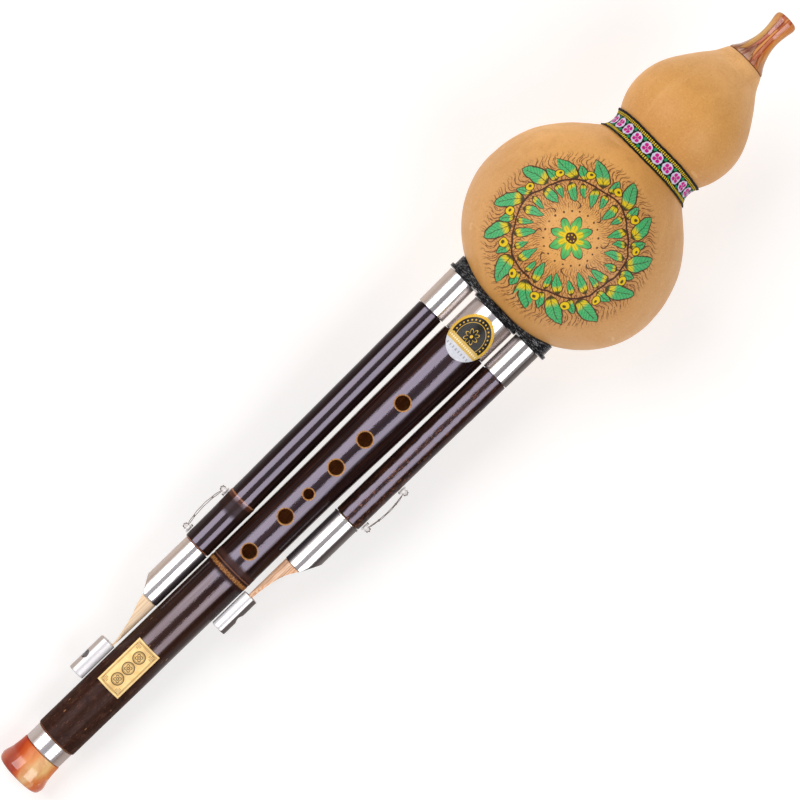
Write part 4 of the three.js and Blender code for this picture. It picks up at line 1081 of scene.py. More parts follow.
def place(name, me, mats, matrix, body, stands=(), slot=None, sharp=34):
    which = [0] * len(me.polygons)
    me.polygons.foreach_get("material_index", which)
    me.materials.clear()
    for m in mats:
        me.materials.append(m)
    me.polygons.foreach_set("material_index", which)
    me.transform(matrix)
    finish_mesh(me, sharp)
    ob = bpy.data.objects.new(name, me)
    bpy.context.scene.collection.objects.link(ob)
    if body:
        if stands:
            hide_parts(*stands)
        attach(ob, body)
    return ob


def drilled(me, cutter_me, mats=()):
    """me with the cutter's volume taken away; both in the same space."""
    a = bpy.data.objects.new("tmp_a", me)
    c = bpy.data.objects.new("tmp_c", cutter_me)
    for o in (a, c):
        bpy.context.scene.collection.objects.link(o)
    for m in mats:
        me.materials.append(m)
        cutter_me.materials.append(m)
    mod = a.modifiers.new("cut", "BOOLEAN")
    mod.operation, mod.solver, mod.object = "DIFFERENCE", "EXACT", c
    dg = bpy.context.evaluated_depsgraph_get()
    out = bpy.data.meshes.new_from_object(a.evaluated_get(dg))
    for o in (a, c):
        bpy.data.objects.remove(o)
    return out


def wave(x, y, z, f, seed=0.0):
    return noise.noise(Vector((x * f + seed, y * f, z * f - seed)))


# ------------------------------------------------------------------ gourd
RIBBON_N = 23
waist = smooth(GOURD_OUTER[6:14], 0.3)
RIBBON_T = 0.5
waist_mid = lerp(waist, 397.9) + 0.3 + RIBBON_T
RIBBON_LEN = TAU * waist_mid
RIBBON_PITCH = RIBBON_LEN / RIBBON_N
RIBBON_LAP = 7.0
BAR_PITCH = RIBBON_PITCH / 6
PATTERN_START = 0.87
# before it was stretched over the hollow of the waist: as wide as its path over it, as long as its edges' mean way round
across = [(x, lerp(waist, x)) for x in np.linspace(RIBBON_X0, RIBBON_X1, 60)]
RIBBON_FLAT_W = sum(math.hypot(q[0] - p[0], q[1] - p[1]) for p, q in zip(across, across[1:]))
RIBBON_FLAT_L = TAU * (sum(r for _, r in across) / len(across) + 0.3 + RIBBON_T / 2) + RIBBON_LAP


def seat_outline(inset, n=26):
    R, r, d = 15.7 - inset, 9.0 - inset, 20.2
    a = math.acos((R - r) / d)
    out = []
    for cy, rad, t0, t1 in ((d, r, -a, a), (0, R, a, math.pi - a), (-d, r, math.pi - a, math.pi + a), (0, R, math.pi + a, TAU - a)):
        for i in range(n + 1):
            t = t0 + (t1 - t0) * i / n
            out.append((cy + rad * math.cos(t), rad * math.sin(t)))
    return out


def outline_rho(inset):
    """Distance from the axis to the seat's outline, by angle."""
    poly = seat_outline(inset)

    def rho(t):
        c, s_ = math.cos(t), math.sin(t)
        best = 0.0
        for (y0, z0), (y1, z1) in zip(poly, poly[1:] + poly[:1]):
            ey, ez = y1 - y0, z1 - z0
            den = c * ez - s_ * ey
            if abs(den) < 1e-12:
                continue
            k = (y0 * ez - z0 * ey) / den
            w = (y0 * s_ - z0 * c) / den
            if k > 0 and -1e-9 <= w <= 1 + 1e-9:
                best = max(best, k)
        return best
    return rho


def bulb_x(rho, a=BULB_A, r=BULB_R):
    return BULB_X - a * math.sqrt(max(0.0, 1 - (rho / r) ** 2))


lean_curve = smooth(BEND, 4.0)


def lean(x):
    return lerp(lean_curve, x)


def gourd_wobble(x, t, r):
    """The gourd isn't quite round: shallow dents, hardly any swelling."""
    if r < 1:
        return r
    n = wave(r * math.cos(t), r * math.sin(t), x, 0.028, 4.0) * 0.55 + wave(r * math.cos(t), r * math.sin(t), x, 0.075, 9.0) * 0.22
    fade = min(1.0, max(0.0, (x - 312) / 16)) * min(1.0, max(0.0, (456 - x) / 8)) * (0.15 + 0.85 * min(1.0, abs(x - 398) / 12))
    return r - (0.35 + n) * 0.55 * fade


def build_gourd():
    segs = 176
    b = Build()
    angs = [TAU * (k + 0.5) / segs for k in range(segs)]
    rho_open = [outline_rho(0.9)(t) for t in angs]
    rows = []

    def blend_rows(a, r, end, n, ease):
        out = []
        for j in range(n + 1):
            f = (j / n) ** ease
            pts = []
            for t, ro in zip(angs, rho_open):
                rho = ro + (end - ro) * f
                x = bulb_x(rho, a, r)
                pts.append((x, rho * math.cos(t) + lean(x), rho * math.sin(t)))
            out.append(b.ring(pts))
        return out

    def plain(x, r, wob=True):
        pts = []
        for t in angs:
            q = gourd_wobble(x, t, r) if wob else r
            pts.append((x, q * math.cos(t) + lean(x), q * math.sin(t)))
        return b.ring(pts)

    rows += blend_rows(BULB_A, BULB_R, 38.0, 14, 1.0)
    t0 = math.asin(38.0 / BULB_R)
    for j in range(1, 16):
        t = t0 + (math.pi / 2 - t0) * j / 16
        rows.append(plain(BULB_X - BULB_A * math.cos(t), BULB_R * math.sin(t)))
    for x, r in smooth(GOURD_OUTER, 1.15)[:-1]:
        rows.append(plain(x, r))
    for x, r in fillet([(455.6, 11.45), (458.3, 10.2, 0.35), (458.3, 6.5, 0.2), (446.0, 6.5)], closed=False)[1:-1]:
        rows.append(plain(x, r, False))
    for x, r in smooth(GOURD_INNER, 3.0):
        rows.append(plain(x, r, False))
    ai, ri = BULB_A - SHELL - 0.5, BULB_R - SHELL
    t1 = math.asin(34.0 / ri)
    for j in range(1, 8):
        t = math.pi / 2 + (t1 - math.pi / 2) * j / 8
        rows.append(plain(BULB_X - ai * math.cos(t), ri * math.sin(t), False))
    rows += list(reversed(blend_rows(ai, ri, 34.0, 6, 1.0)))
    for p, q in zip(rows, rows[1:] + rows[:1]):
        b.join(p, q)
    return mesh_from("gourd", b)


place("gourd_shell", build_gourd(), [mat_gourd()], INST, "gourd", ["gourd_body"], "gourd", sharp=40)


# ------------------------------------------------------------------ seat
def build_seat():
    segs = 192
    b = Build()
    angs = [TAU * (k + 0.5) / segs for k in range(segs)]
    table = {}

    def outline(inset):
        if inset not in table:
            f = outline_rho(inset)
            table[inset] = [f(t) for t in angs]
        return table[inset]

    def circle(x, r):
        return b.ring([(x, r * math.cos(t), r * math.sin(t)) for t in angs])

    def shape(x, inset, inside=0.0):
        return b.ring([(x, (q - inside) * math.cos(t), (q - inside) * math.sin(t)) for t, q in zip(angs, outline(inset))])

    def skin(inset, off):
        out = []
        for t, q in zip(angs, outline(inset)):
            x = bulb_x(q, BULB_A + 0.35, BULB_R + 0.4) - off
            out.append((x, q * math.cos(t) + lean(x), q * math.sin(t)))
        return b.ring(out)

    def between(p, q, f):
        return b.ring([tuple(u + (w - u) * f for u, w in zip(b.v[i], b.v[j])) for i, j in zip(p, q)])

    rows = [circle(321, 8.8), circle(310, 8.8), circle(298.45, 8.8), circle(298.2, 8.95), circle(298.1, 9.15),
            circle(298.1, 12.2), circle(298.17, 12.5), circle(298.35, 12.66), circle(298.6, 12.7), circle(299.25, 12.7),
            circle(299.45, 12.78), circle(299.55, 13.05)]
    face, inner = shape(299.55, -0.8, 0.62), rows[-1]
    rows += [between(inner, face, f) for f in (0.25, 0.5, 0.75)] + [face]
    rows += [shape(299.6, -0.8, 0.34), shape(299.72, -0.8, 0.12), shape(299.9, -0.8, 0.0), shape(300.3, -0.8, 0.0),
             shape(300.42, -0.8, 0.16), shape(300.58, -0.8, 0.16), shape(300.7, -0.8, 0.0), shape(301.1, -0.8, 0.0),
             shape(301.3, -0.8, 0.12), shape(301.42, -0.8, 0.34), shape(301.45, -0.8, 0.62), shape(301.5, 0.45, -0.02), shape(301.6, 0.45, 0.0)]
    last = rows[-1]
    end = skin(0.45, 0.35)
    for f in (0.33, 0.66):
        rows.append(between(last, end, f))
    rows += [end, skin(0.52, 0.12), skin(0.7, 0.04), skin(1.2, 0.04), shape(321.0, 1.2, 0.25), shape(321.0, 1.2, 0.6)]
    for p, q in zip(rows, rows[1:] + rows[:1]):
        b.join(p, q)
    me = mesh_from("seat", b)
    c = Build()
    for y0, slope in ((15.9, 0.0187), (-20.15, 0.0)):
        s0 = len(c.v)
        turned([(290, 0), (290, 5.5), (330, 5.5), (330, 0)], 48, c, closed=False)
        for i in range(s0, len(c.v)):
            x, y, z = c.v[i]
            c.v[i] = (x, y + y0 + slope * x, z)
    return drilled(me, mesh_from("cut", c))


place("pipe_seat_rubber", build_seat(), [mat_rubber()], INST, "gourd", ["pipe_seat"], "black_rubber", sharp=42)

# ------------------------------------------------------------------ mouthpiece
mouth_prof = smooth(MOUTH_OUTER[1:], 0.35)
mouth_prof = [(458.6, 9.75), (458.75, 9.95), (459.1, 9.95)] + mouth_prof[:-2] + [(485.15, 5.05), (485.4, 4.7), (485.4, 3.85), (485.2, 3.6)] \
    + [(477.0, 3.55), (473.5, 3.0), (462.0, 3.0), (448.0, 3.5), (446.6, 3.8), (446.6, 5.8), (447.0, 6.1), (458.6, 6.1)]


def leaned(x, t, r):
    return (x, r * math.cos(t) + lean(x), r * math.sin(t))


place("mouthpiece_resin", mesh_from("mouthpiece", turned(mouth_prof, 96, move=leaned)), [mat_mouthpiece()], INST, "gourd",
      ["mouthpiece"], "amber_resin", sharp=38)

# ------------------------------------------------------------------ ribbon
def build_ribbon():
    """A strip wound once round the waist, its end lapped over its start at the back."""
    total = RIBBON_LEN + RIBBON_LAP
    nu, nv = 700, 46
    half = (RIBBON_X1 - RIBBON_X0) / 2
    xm = (RIBBON_X0 + RIBBON_X1) / 2
    verts, uu, vv = [], [], []

    def at(i, j, top):
        u = total * i / (nu - 1) - RIBBON_LAP / 2        # along, from just past the back
        v = -half + 2 * half * j / (nv - 1)
        t = TAU * u / RIBBON_LEN - math.pi / 2           # angle, -90 degrees is the back
        lap = min(1.0, max(0.0, (u - (RIBBON_LEN - RIBBON_LAP / 2 - 6.0)) / 5.5))
        lap = lap * lap * (3 - 2 * lap)
        edge = 0.10 * math.sin(u * 1.9) * (abs(v) / half) ** 3 + 0.06 * math.sin(u * 0.7 + 1.0)
        x = xm + v + edge * 0.6 + 0.12 * math.sin(u * 0.22) - 0.6 * max(0.0, -math.cos(t + math.pi / 2)) ** 2
        r = lerp(waist, min(max(x, 392.5), 403.5)) + 0.28 + lap * (RIBBON_T + 0.12)
        # edges curl up a little off the waist
        r += 0.10 * max(0.0, (abs(v) / half - 0.8) / 0.2) ** 2
        if top:
            w = u - PATTERN_START
            pu = (w + RIBBON_PITCH / 2) % RIBBON_PITCH - RIBBON_PITCH / 2
            rr = math.hypot(pu, v)
            h = 0.0
            if rr < 2.7:
                h = 0.13 * min(1.0, (2.7 - rr) / 0.35)
                aa = math.atan2(v, pu)
                if 0.3 < rr < 2.0 * abs(math.sin(2 * aa)) ** 0.42:
                    h += 0.05
            pl = (w + RIBBON_PITCH) % RIBBON_PITCH - RIBBON_PITCH / 2
            if math.hypot(pl * 0.95, abs(v) - 2.25) < 0.72:
                h = max(h, 0.09)
            if 3.1 < abs(v) < 4.3 and abs((w / BAR_PITCH) % 1.0 - 0.5) < 0.29:
                h = max(h, 0.07)
            if abs(v) > 4.42:
                h = max(h, 0.16)
            r += RIBBON_T - 0.17 + h
        uu.append(u - PATTERN_START)
        vv.append(v)
        y, z = r * math.sin(t + math.pi / 2) * -1, -r * math.cos(t + math.pi / 2)
        return (x, y + lean(x), z)

    grids = []
    for top in (True, False):
        g = []
        for i in range(nu):
            g.append([])
            for j in range(nv):
                verts.append(at(i, j, top))
                g[-1].append(len(verts) - 1)
        grids.append(g)
    f = []
    for k, g in enumerate(grids):
        for i in range(nu - 1):
            for j in range(nv - 1):
                q = (g[i][j], g[i + 1][j], g[i + 1][j + 1], g[i][j + 1])
                f.append(q if k == 0 else q[::-1])
    T, B = grids
    for i in range(nu - 1):
        f.append((T[i][0], B[i][0], B[i + 1][0], T[i + 1][0]))
        f.append((T[i][-1], T[i + 1][-1], B[i + 1][-1], B[i][-1]))
    for j in range(nv - 1):
        f.append((T[0][j], T[0][j + 1], B[0][j + 1], B[0][j]))
        f.append((T[-1][j], B[-1][j], B[-1][j + 1], T[-1][j + 1]))
    me = bpy.data.meshes.new("ribbon")
    me.from_pydata([(x * MM, y * MM, z * MM) for x, y, z in verts], [], f)
    for name, vals in (("uu", uu), ("vv", vv)):
        me.attributes.new(name, "FLOAT", "POINT").data.foreach_set("value", vals)
    return me


ribbon = place("waist_ribbon_woven", build_ribbon(), [mat_ribbon()], INST, "gourd", ["waist_ribbon"], "ribbon", sharp=60)
RIBBON_FLAT_L * MM


# ------------------------------------------------------------------ pipes
def pipe_radius(tab, extras):
    pts = smooth(tab, 1.0)

    def f(x):
        r = lerp(pts, x)
        for x0, amp, w in extras:
            d = (x - x0) / w
            if abs(d) < 4:
                r += amp * math.exp(-d * d)
        return r
    return f


MAIN_TAB = [(24.7, 10.7), (60, 10.8), (110, 10.83), (130, 10.85), (139, 10.87), (165, 10.85), (200, 11.05), (241, 11.7), (272, 12.0), (279, 12.0)]
main_r = pipe_radius(MAIN_TAB, [(132.0, 0.14, 1.0), (133.6, -0.10, 0.5), (134.5, 0.17, 0.55), (136.2, 0.05, 1.2)])
BAMBOO_MAIN, BORE, CUT = mat_main_bamboo(), mat_bore(), mat_cut_bamboo()


def surface_z(fr, x, y):
    r = fr(x)
    return math.sqrt(max(0.0, r * r - y * y))


def hole_cutter(b, fr, x0, r, down=1.0, reach=3.0, bevel=0.62):
    """Upright hole whose edge is bevelled evenly all round, following the pipe's surface."""
    segs = 56
    rows = []
    for rho, kind in ((r, "in"), (r, "low"), (r + bevel * 0.35, "mid"), (r + bevel, "edge"), (r + bevel + 0.25, "out"), (r + bevel + 0.25, "top")):
        pts = []
        for k in range(segs):
            t = TAU * k / segs
            x, y = x0 + rho * math.cos(t), rho * math.sin(t)
            s_ = surface_z(fr, x, y)
            z = {"in": reach, "low": s_ - 0.75, "mid": s_ - 0.42, "edge": s_ - 0.0, "out": s_ + 0.28, "top": 16.0}[kind]
            pts.append((x, y, z * down))
        rows.append(b.ring(pts))
    for i, (p, q) in enumerate(zip(rows, rows[1:])):
        b.join(p, q, 1 if i < 1 else 2)
    b.fan(rows[0], b.point((x0, 0, reach * down)), 1)
    b.fan(rows[-1], b.point((x0, 0, 16.0 * down)), 2)


def build_main_pipe():
    xs = [24.1, 24.16, 24.3, 24.55]
    rs = [10.25, 10.42, 10.58, 10.67]
    x = 25.0
    while x < 278.9:
        xs.append(x)
        rs.append(main_r(x))
        x += 0.30 if 129 < x < 140 else 0.85
    xs += [278.7, 278.92, 279.0]
    rs += [main_r(278.7), main_r(278.9) - 0.1, main_r(279) - 0.35]
    prof = list(zip(xs, rs)) + [(279.0, 10.4), (291, 10.4), (291, 7.2), (36.3, 7.2), (36.3, 8.9), (24.1, 8.9)]

    def move(x, t, r):
        if 24.6 < x < 278.8 and r > 10.45:
            y, z = r * math.cos(t), r * math.sin(t)
            r += wave(x * 0.25, y, z, 0.10, 2.0) * 0.10 + wave(x * 0.08, y * 2.2, z * 2.2, 0.25, 6.0) * 0.035
            if 129 < x < 139:
                r += wave(x * 3, y, z, 0.35, 1.0) * 0.07
        return (x, r * math.cos(t), r * math.sin(t))

    def part(p, q):
        return 1 if max(p[1], q[1]) < 9.5 or (p[1] < 9.5 and q[1] > 10) else 0
    b = turned(prof, 128, move=move, mi=part)
    me = mesh_from("main", b)
    c = Build()
    for x0, r in FINGER_HOLES:
        hole_cutter(c, main_r, x0, r)
    hole_cutter(c, main_r, THUMB_HOLE[0], THUMB_HOLE[1], down=-1.0)
    for x0, r in REAR_VENTS:
        hole_cutter(c, main_r, x0, r, down=-1.0, bevel=0.4)
    return drilled(me, mesh_from("cut", c), mats=[BAMBOO_MAIN, BORE, CUT])


place("main_pipe_bamboo", build_main_pipe(), [BAMBOO_MAIN, BORE, CUT], INST, "main_pipe", ["main_pipe"], "lacquered_bamboo", sharp=30)

# painted reflections: each metal's first two colours stand for what it reflects when seen aslant on its +y and -y sides
WARM_SIDE_REFLECTION = (0.49, 0.40, 0.35)
METAL = {
    "main": mat_metal("white_metal_main", (0.48, 0.41, 0.385), (0.37, 0.295, 0.27), satin=0.02, tone=(0.93, 0.91, 0.94)),
    "left": mat_metal("white_metal_left", WARM_SIDE_REFLECTION, (0.55, 0.48, 0.45)),
    "right": mat_metal("white_metal_right", (0.30, 0.26, 0.25), (0.10, 0.082, 0.075), b=(0.2, 0.29)),
    "left_sleeve": mat_metal("white_metal_left_sleeve", WARM_SIDE_REFLECTION, (0.13, 0.115, 0.12), tone=(0.94, 0.92, 0.95)),
    "right_sleeve": mat_metal("white_metal_right_sleeve", (0.14, 0.12, 0.125), (0.10, 0.082, 0.078), a=(0.2, 0.32), b=(0.12, 0.22), tone=(0.80, 0.78, 0.80)),
    "left_cap": mat_metal("white_metal_left_cap", (0.46, 0.395, 0.365), (0.86, 0.85, 0.88), satin=0.26, metallic=0.42, tone=(0.84, 0.83, 0.86), lift=(0.0, 1.2)),
    "right_cap": mat_metal("white_metal_right_cap", (0.86, 0.85, 0.88), (0.11, 0.09, 0.085), b=(0.07, 0.15), satin=0.2, metallic=0.5,
                           tone=(0.84, 0.83, 0.86), lift=(1.2, 0.0)),
}
place("main_ferrule_metal", mesh_from("mf", turned(split_long(fillet([
    (279.3, 11.6, 0.28), (297.8, 11.6, 0.28), (297.8, 10.7, 0.2), (279.3, 10.7, 0.2)]), 1.2), 112)), [METAL["main"]], INST, "main_pipe",
    ["main_ferrule"], "white_metal", sharp=50)

# bell
bell_prof = [(0.0, 9.35), (0.02, 9.9), (0.2, 10.7), (0.6, 11.38), (1.05, 11.7)] + smooth([
    (1.6, 11.95), (3.4, 12.3), (5.2, 12.0), (7.0, 11.45), (9.2, 11.0), (12.4, 10.65), (15.2, 10.5)], 0.35) \
    + [(15.5, 10.45), (15.68, 10.3), (15.7, 10.1), (15.7, 8.6), (35.6, 8.6), (36, 8.3), (36, 7.3), (35.6, 7.2)] \
    + smooth([(15, 7.2), (7, 7.5), (2.5, 8.1), (0.6, 8.7)], 0.8) + [(0.15, 9.0)]
place("bell_resin", mesh_from("bell", turned(bell_prof, 112)), [mat_bell()], INST, "main_pipe", ["bell"], "marbled_resin", sharp=40)
place("bell_ferrule_metal", mesh_from("bf", turned(split_long(fillet([
    (16.0, 10.2, 0.22), (23.8, 10.2, 0.22), (23.8, 8.9, 0.2), (16.0, 8.9, 0.2)]), 0.8), 96)), [METAL["main"]], INST, "main_pipe",
    ["bell_ferrule"], "white_metal", sharp=50)


# plaque: a bent plate with a raised edge
def build_plaque():
    P = PLAQUE
    nu, nv = 110, 60
    half = math.radians(P["half"])
    verts, f = [], []

    def at(i, j, top):
        x = P["x0"] + (P["x1"] - P["x0"]) * i / (nu - 1)
        t = -half + 2 * half * j / (nv - 1)
        e_ = min(x - P["x0"], P["x1"] - x, (half - abs(t)) * 11.7)
        r = P["r"]
        if top:
            r += P["t"] - 0.13
            r += 0.13 * min(1.0, max(0.0, (0.95 - e_) / 0.25)) if e_ > 0.2 else 0.13 * (e_ / 0.2) ** 0.5
        return (x, r * math.sin(t), r * math.cos(t))
    grids = []
    for top in (True, False):
        g = [[len(verts) + i * nv + j for j in range(nv)] for i in range(nu)]
        verts += [at(i, j, top) for i in range(nu) for j in range(nv)]
        grids.append(g)
    T, B = grids
    for i in range(nu - 1):
        for j in range(nv - 1):
            f.append((T[i][j], T[i + 1][j], T[i + 1][j + 1], T[i][j + 1]))
            f.append((B[i][j + 1], B[i + 1][j + 1], B[i + 1][j], B[i][j]))
        f.append((T[i][0], B[i][0], B[i + 1][0], T[i + 1][0]))
        f.append((T[i][-1], T[i + 1][-1], B[i + 1][-1], B[i][-1]))
    for j in range(nv - 1):
        f.append((T[0][j], T[0][j + 1], B[0][j + 1], B[0][j]))
        f.append((T[-1][j], B[-1][j], B[-1][j + 1], T[-1][j + 1]))
    b = Build()
    b.v, b.f, b.mi = verts, f, [0] * len(f)
    return mesh_from("plaque", b)


place("plaque_gilt", build_plaque(), [mat_gold_plaque()], INST, "main_pipe", ["pipe_plaque"], "gold_plate", sharp=40)


# label: a foil oval bent round the pipe's top
def build_label():
    L = LABEL
    b = Build()
    segs, n = 120, 14

    def ring(f, r):
        pts = []
        for k in range(segs):
            t = TAU * k / segs
            x, y = L["x"] + L["rx"] * f * math.cos(t), L["ry"] * f * math.sin(t)
            lift = 0.03 * max(0.0, math.sin(3 * t + 1)) * f ** 6
            rr = r + lift
            pts.append((x, y, math.sqrt(rr * rr - y * y)))
        return b.ring(pts)
    top = [ring(1 - k / n, L["r"] + L["t"] - (0.1 if k == 0 else 0.0)) for k in range(n)]
    bot = [ring(1 - k / n, L["r"]) for k in range(n)]
    for rows in (top, bot):
        for p, q in zip(rows, rows[1:]):
            b.join(p, q)
    b.fan(top[-1], b.point((L["x"], 0, L["r"] + L["t"])))
    b.fan(bot[-1], b.point((L["x"], 0, L["r"])))
    b.join(bot[0], top[0])
    return mesh_from("label", b)


place("label_foil_oval", build_label(), [mat_label()], INST, "main_pipe", ["round_label"], "label_foil", sharp=40)


# ------------------------------------------------------------------ drones
def bead(b, c, r, sx=1.0, sy=1.0, sz=1.0, nu=14, nv=9):
    rows = []
    top = b.point((c[0], c[1], c[2] + r * sz))
    for j in range(1, nv):
        p = math.pi * j / nv
        rows.append(b.ring([(c[0] + r * sx * math.sin(p) * math.cos(TAU * k / nu), c[1] + r * sy * math.sin(p) * math.sin(TAU * k / nu),
                             c[2] + r * sz * math.cos(p)) for k in range(nu)]))
    bot = b.point((c[0], c[1], c[2] - r * sz))
    b.fan(rows[0], top)
    for p, q in zip(rows, rows[1:]):
        b.join(p, q)
    b.fan(rows[-1], bot)


def sweep(b, pts, radius, segs=12):
    """A round bar along the points; radius may change by share of the way."""
    pts = [Vector(p) for p in pts]
    n = len(pts)
    rows = []
    side = Vector((0, 0, 1))
    for i, p in enumerate(pts):
        d = (pts[min(i + 1, n - 1)] - pts[max(i - 1, 0)]).normalized()
        e1 = side.cross(d).normalized() if abs(side.dot(d)) < 0.95 else Vector((0, 1, 0)).cross(d).normalized()
        e2 = d.cross(e1)
        r = radius(i / (n - 1)) if callable(radius) else radius
        rows.append(b.ring([tuple(p + e1 * r * math.cos(TAU * k / segs) + e2 * r * math.sin(TAU * k / segs)) for k in range(segs)]))
    for p, q in zip(rows, rows[1:]):
        b.join(p, q)
    b.fan(rows[0], b.point(tuple(pts[0])))
    b.fan(rows[-1], b.point(tuple(pts[-1])))


def build_loop(side, d, surface):
    """Cast ornamental handle: two flowered feet and a thin beaded bow between them."""
    b = Build()
    s_ = d["side"]
    x0 = d["loop_x"]
    base = surface + 0.3

    def P(x, v, z=0.0):
        return (x0 + x, s_ * (base + v), z)
    # the bow: two thin wires that wind round each other, with a few beads
    n = 60
    wires = ((2.45, 1.34, 0.18), (1.95, 1.02, -0.18)) if side == "left" else ((2.35, 1.26, 0.16), (2.05, 1.10, -0.16))
    for k, (lift, rise, zz) in enumerate(wires):
        bow = [P(3.4 + 21.2 * i / n, lift + rise * math.sin(math.pi * i / n) ** 0.9 + 0.05 * math.sin(i * 0.4 + 2.6 * k),
                 zz) for i in range(n + 1)]
        sweep(b, bow, 0.19)
    for i, r_ in ((13, 0.50), (46, 0.50)) if side == "left" else ((15, 0.60), (45, 0.60)):
        bead(b, P(3.4 + 21.2 * i / n, 2.20 + 1.2 * math.sin(math.pi * i / n) ** 0.9), r_, nu=10, nv=7)
    for mirror in (0, 1):
        X_ = (lambda x: 28 - x) if mirror else (lambda x: x)
        # foot plate on the pipe, a cut-glass block on it
        sweep(b, [P(X_(0.5 + 4.0 * i / 10), 0.30) for i in range(11)], 0.30)
        bead(b, P(X_(2.3), 1.15), 1.05, sx=1.5, sy=0.9, sz=1.3, nu=8, nv=6)
        bead(b, P(X_(0.75), 0.75), 0.55, nu=10, nv=7)
        bead(b, P(X_(4.1), 0.75), 0.55, nu=10, nv=7)
        # a rosette of beads round a heart, seen from the finger holes' side
        cx, cv = X_(2.2), 2.45
        bead(b, P(cx, cv, 0.25), 0.52, nu=12, nv=8)
        for t in (-12, 39, 90, 141, 192):
            t = math.radians(t)
            bead(b, P(cx + 1.12 * math.cos(t), cv + 1.02 * math.sin(t), 0.1), 0.46, nu=12, nv=8)
        for zz in (-0.9, 1.0):
            bead(b, P(cx, cv - 0.35, zz), 0.45, nu=10, nv=7)
    me = mesh_from("loop", b)
    ob = bpy.data.objects.new("tmp_loop", me)
    bpy.context.scene.collection.objects.link(ob)
    mod = ob.modifiers.new("r", "REMESH")
    mod.mode, mod.voxel_size = "VOXEL", 0.10 * MM
    dg = bpy.context.evaluated_depsgraph_get()
    out = bpy.data.meshes.new_from_object(ob.evaluated_get(dg))
    bpy.data.objects.remove(ob)
    bm = bmesh.new()
    bm.from_mesh(out)
    for _ in range(1):
        bmesh.ops.smooth_vert(bm, verts=bm.verts, factor=0.4, use_axis_x=True, use_axis_y=True, use_axis_z=True)
    bm.to_mesh(out)
    bm.free()
    return out


def build_drone(d):
    extras = []
    if d["node_x"]:
        extras = [(d["node_x"], 0.20, 0.9), (d["node_x"] - 2.2, 0.10, 1.4), (d["node_x"] + 1.4, -0.06, 0.6)]
        tab = [(130.4, 6.95), (150, 6.97), (158, 7.02), (164, 6.92), (175, 6.85), (240, 6.75), (278.7, 6.75)]
    else:
        tab = [(187.4, 6.9), (205, 6.94), (230, 6.95), (278.7, 7.05)]
    fr = pipe_radius(tab, extras)
    x0 = d["x0"]
    prof = [(x0, 6.45), (x0 + 0.06, 6.65), (x0 + 0.25, 6.82), (x0 + 0.5, 6.88)]
    x = x0 + 0.9
    while x < 278.3:
        prof.append((x, fr(x)))
        x += 0.28 if d["node_x"] and abs(x - d["node_x"]) < 5 else 0.85
    prof += [(278.45, fr(278.4)), (278.62, fr(278.6) - 0.08), (278.7, fr(278.7) - 0.3), (278.7, 6.0), (292, 6.0), (292, 4.4),
             (x0 - 8.4, 4.4), (x0 - 8.4, 5.25), (x0, 5.25)]
    seed = 3.0 * d["side"]

    def move(x, t, r):
        if x0 + 0.4 < x < 278.5 and r > 6.3:
            y, z = r * math.cos(t), r * math.sin(t)
            r += wave(x * 0.3, y, z, 0.12, seed) * 0.09 + wave(x * 0.1, y * 2.5, z * 2.5, 0.3, seed + 5) * 0.03
            if d["side"] < 0:
                r += wave(x, y, z, 0.5, 8.0) * 0.05
            if d["node_x"] and abs(x - d["node_x"]) < 4:
                r += wave(x * 2, y, z, 0.4, 1.0) * 0.06
        return (x, r * math.cos(t), r * math.sin(t))

    def part(p, q):
        return 1 if max(p[1], q[1]) < 5.9 else 0
    return mesh_from("drone", turned(prof, 96, move=move, mi=part))


def sleeve_start(d, v):
    k = (d["bevel_x"] - d["sleeve_x0"]) / (d["sleeve_r"] - d["bevel_v"])
    return d["sleeve_x0"] + k * max(0.0, v - d["bevel_v"])


def build_sleeve(d):
    """Thin tube whose lower end is cut slanting on the outer side."""
    b = Build()
    segs = 112
    R, r = d["sleeve_r"], d["sleeve_r"] - 0.55

    def row(rad, f, dx=0.0):
        pts = []
        for k in range(segs):
            t = TAU * (k + 0.5) / segs
            v, z = rad * math.cos(t), rad * math.sin(t)
            xs = sleeve_start(d, v) + dx
            pts.append((xs + (d["sleeve_x1"] - dx - xs) * f if f else xs, d["side"] * v, z))
        return b.ring(pts)
    rows = [row(R - 0.12, 0.0), row(R - 0.03, 0.0, 0.05), row(R, 0.0, 0.16)]
    rows += [row(R, f) for f in (0.05, 0.15, 0.3, 0.5, 0.7, 0.85, 0.95, 0.975)]
    lip = d["rim"]
    if lip:
        rows += [row(R + lip * h, 1.0, back) for h, back in ((0.02, 1.0), (0.5, 0.93), (0.85, 0.80), (1.0, 0.60), (1.0, 0.20), (0.8, 0.06), (0.4, 0.0))]
    else:
        rows += [row(R, 0.99), row(R - 0.05, 0.9985), row(R - 0.15, 1.0)]
    rows += [row(r + 0.1, 1.0), row(r, 0.995)]
    rows += [row(r, f) for f in (0.9, 0.6, 0.3, 0.1)]
    rows += [row(r, 0.0, 0.12), row(r + 0.08, 0.0, 0.02), row(r + 0.2, 0.0)]
    for p, q in zip(rows, rows[1:] + rows[:1]):
        b.join(p, q)
    return mesh_from("sleeve", b)


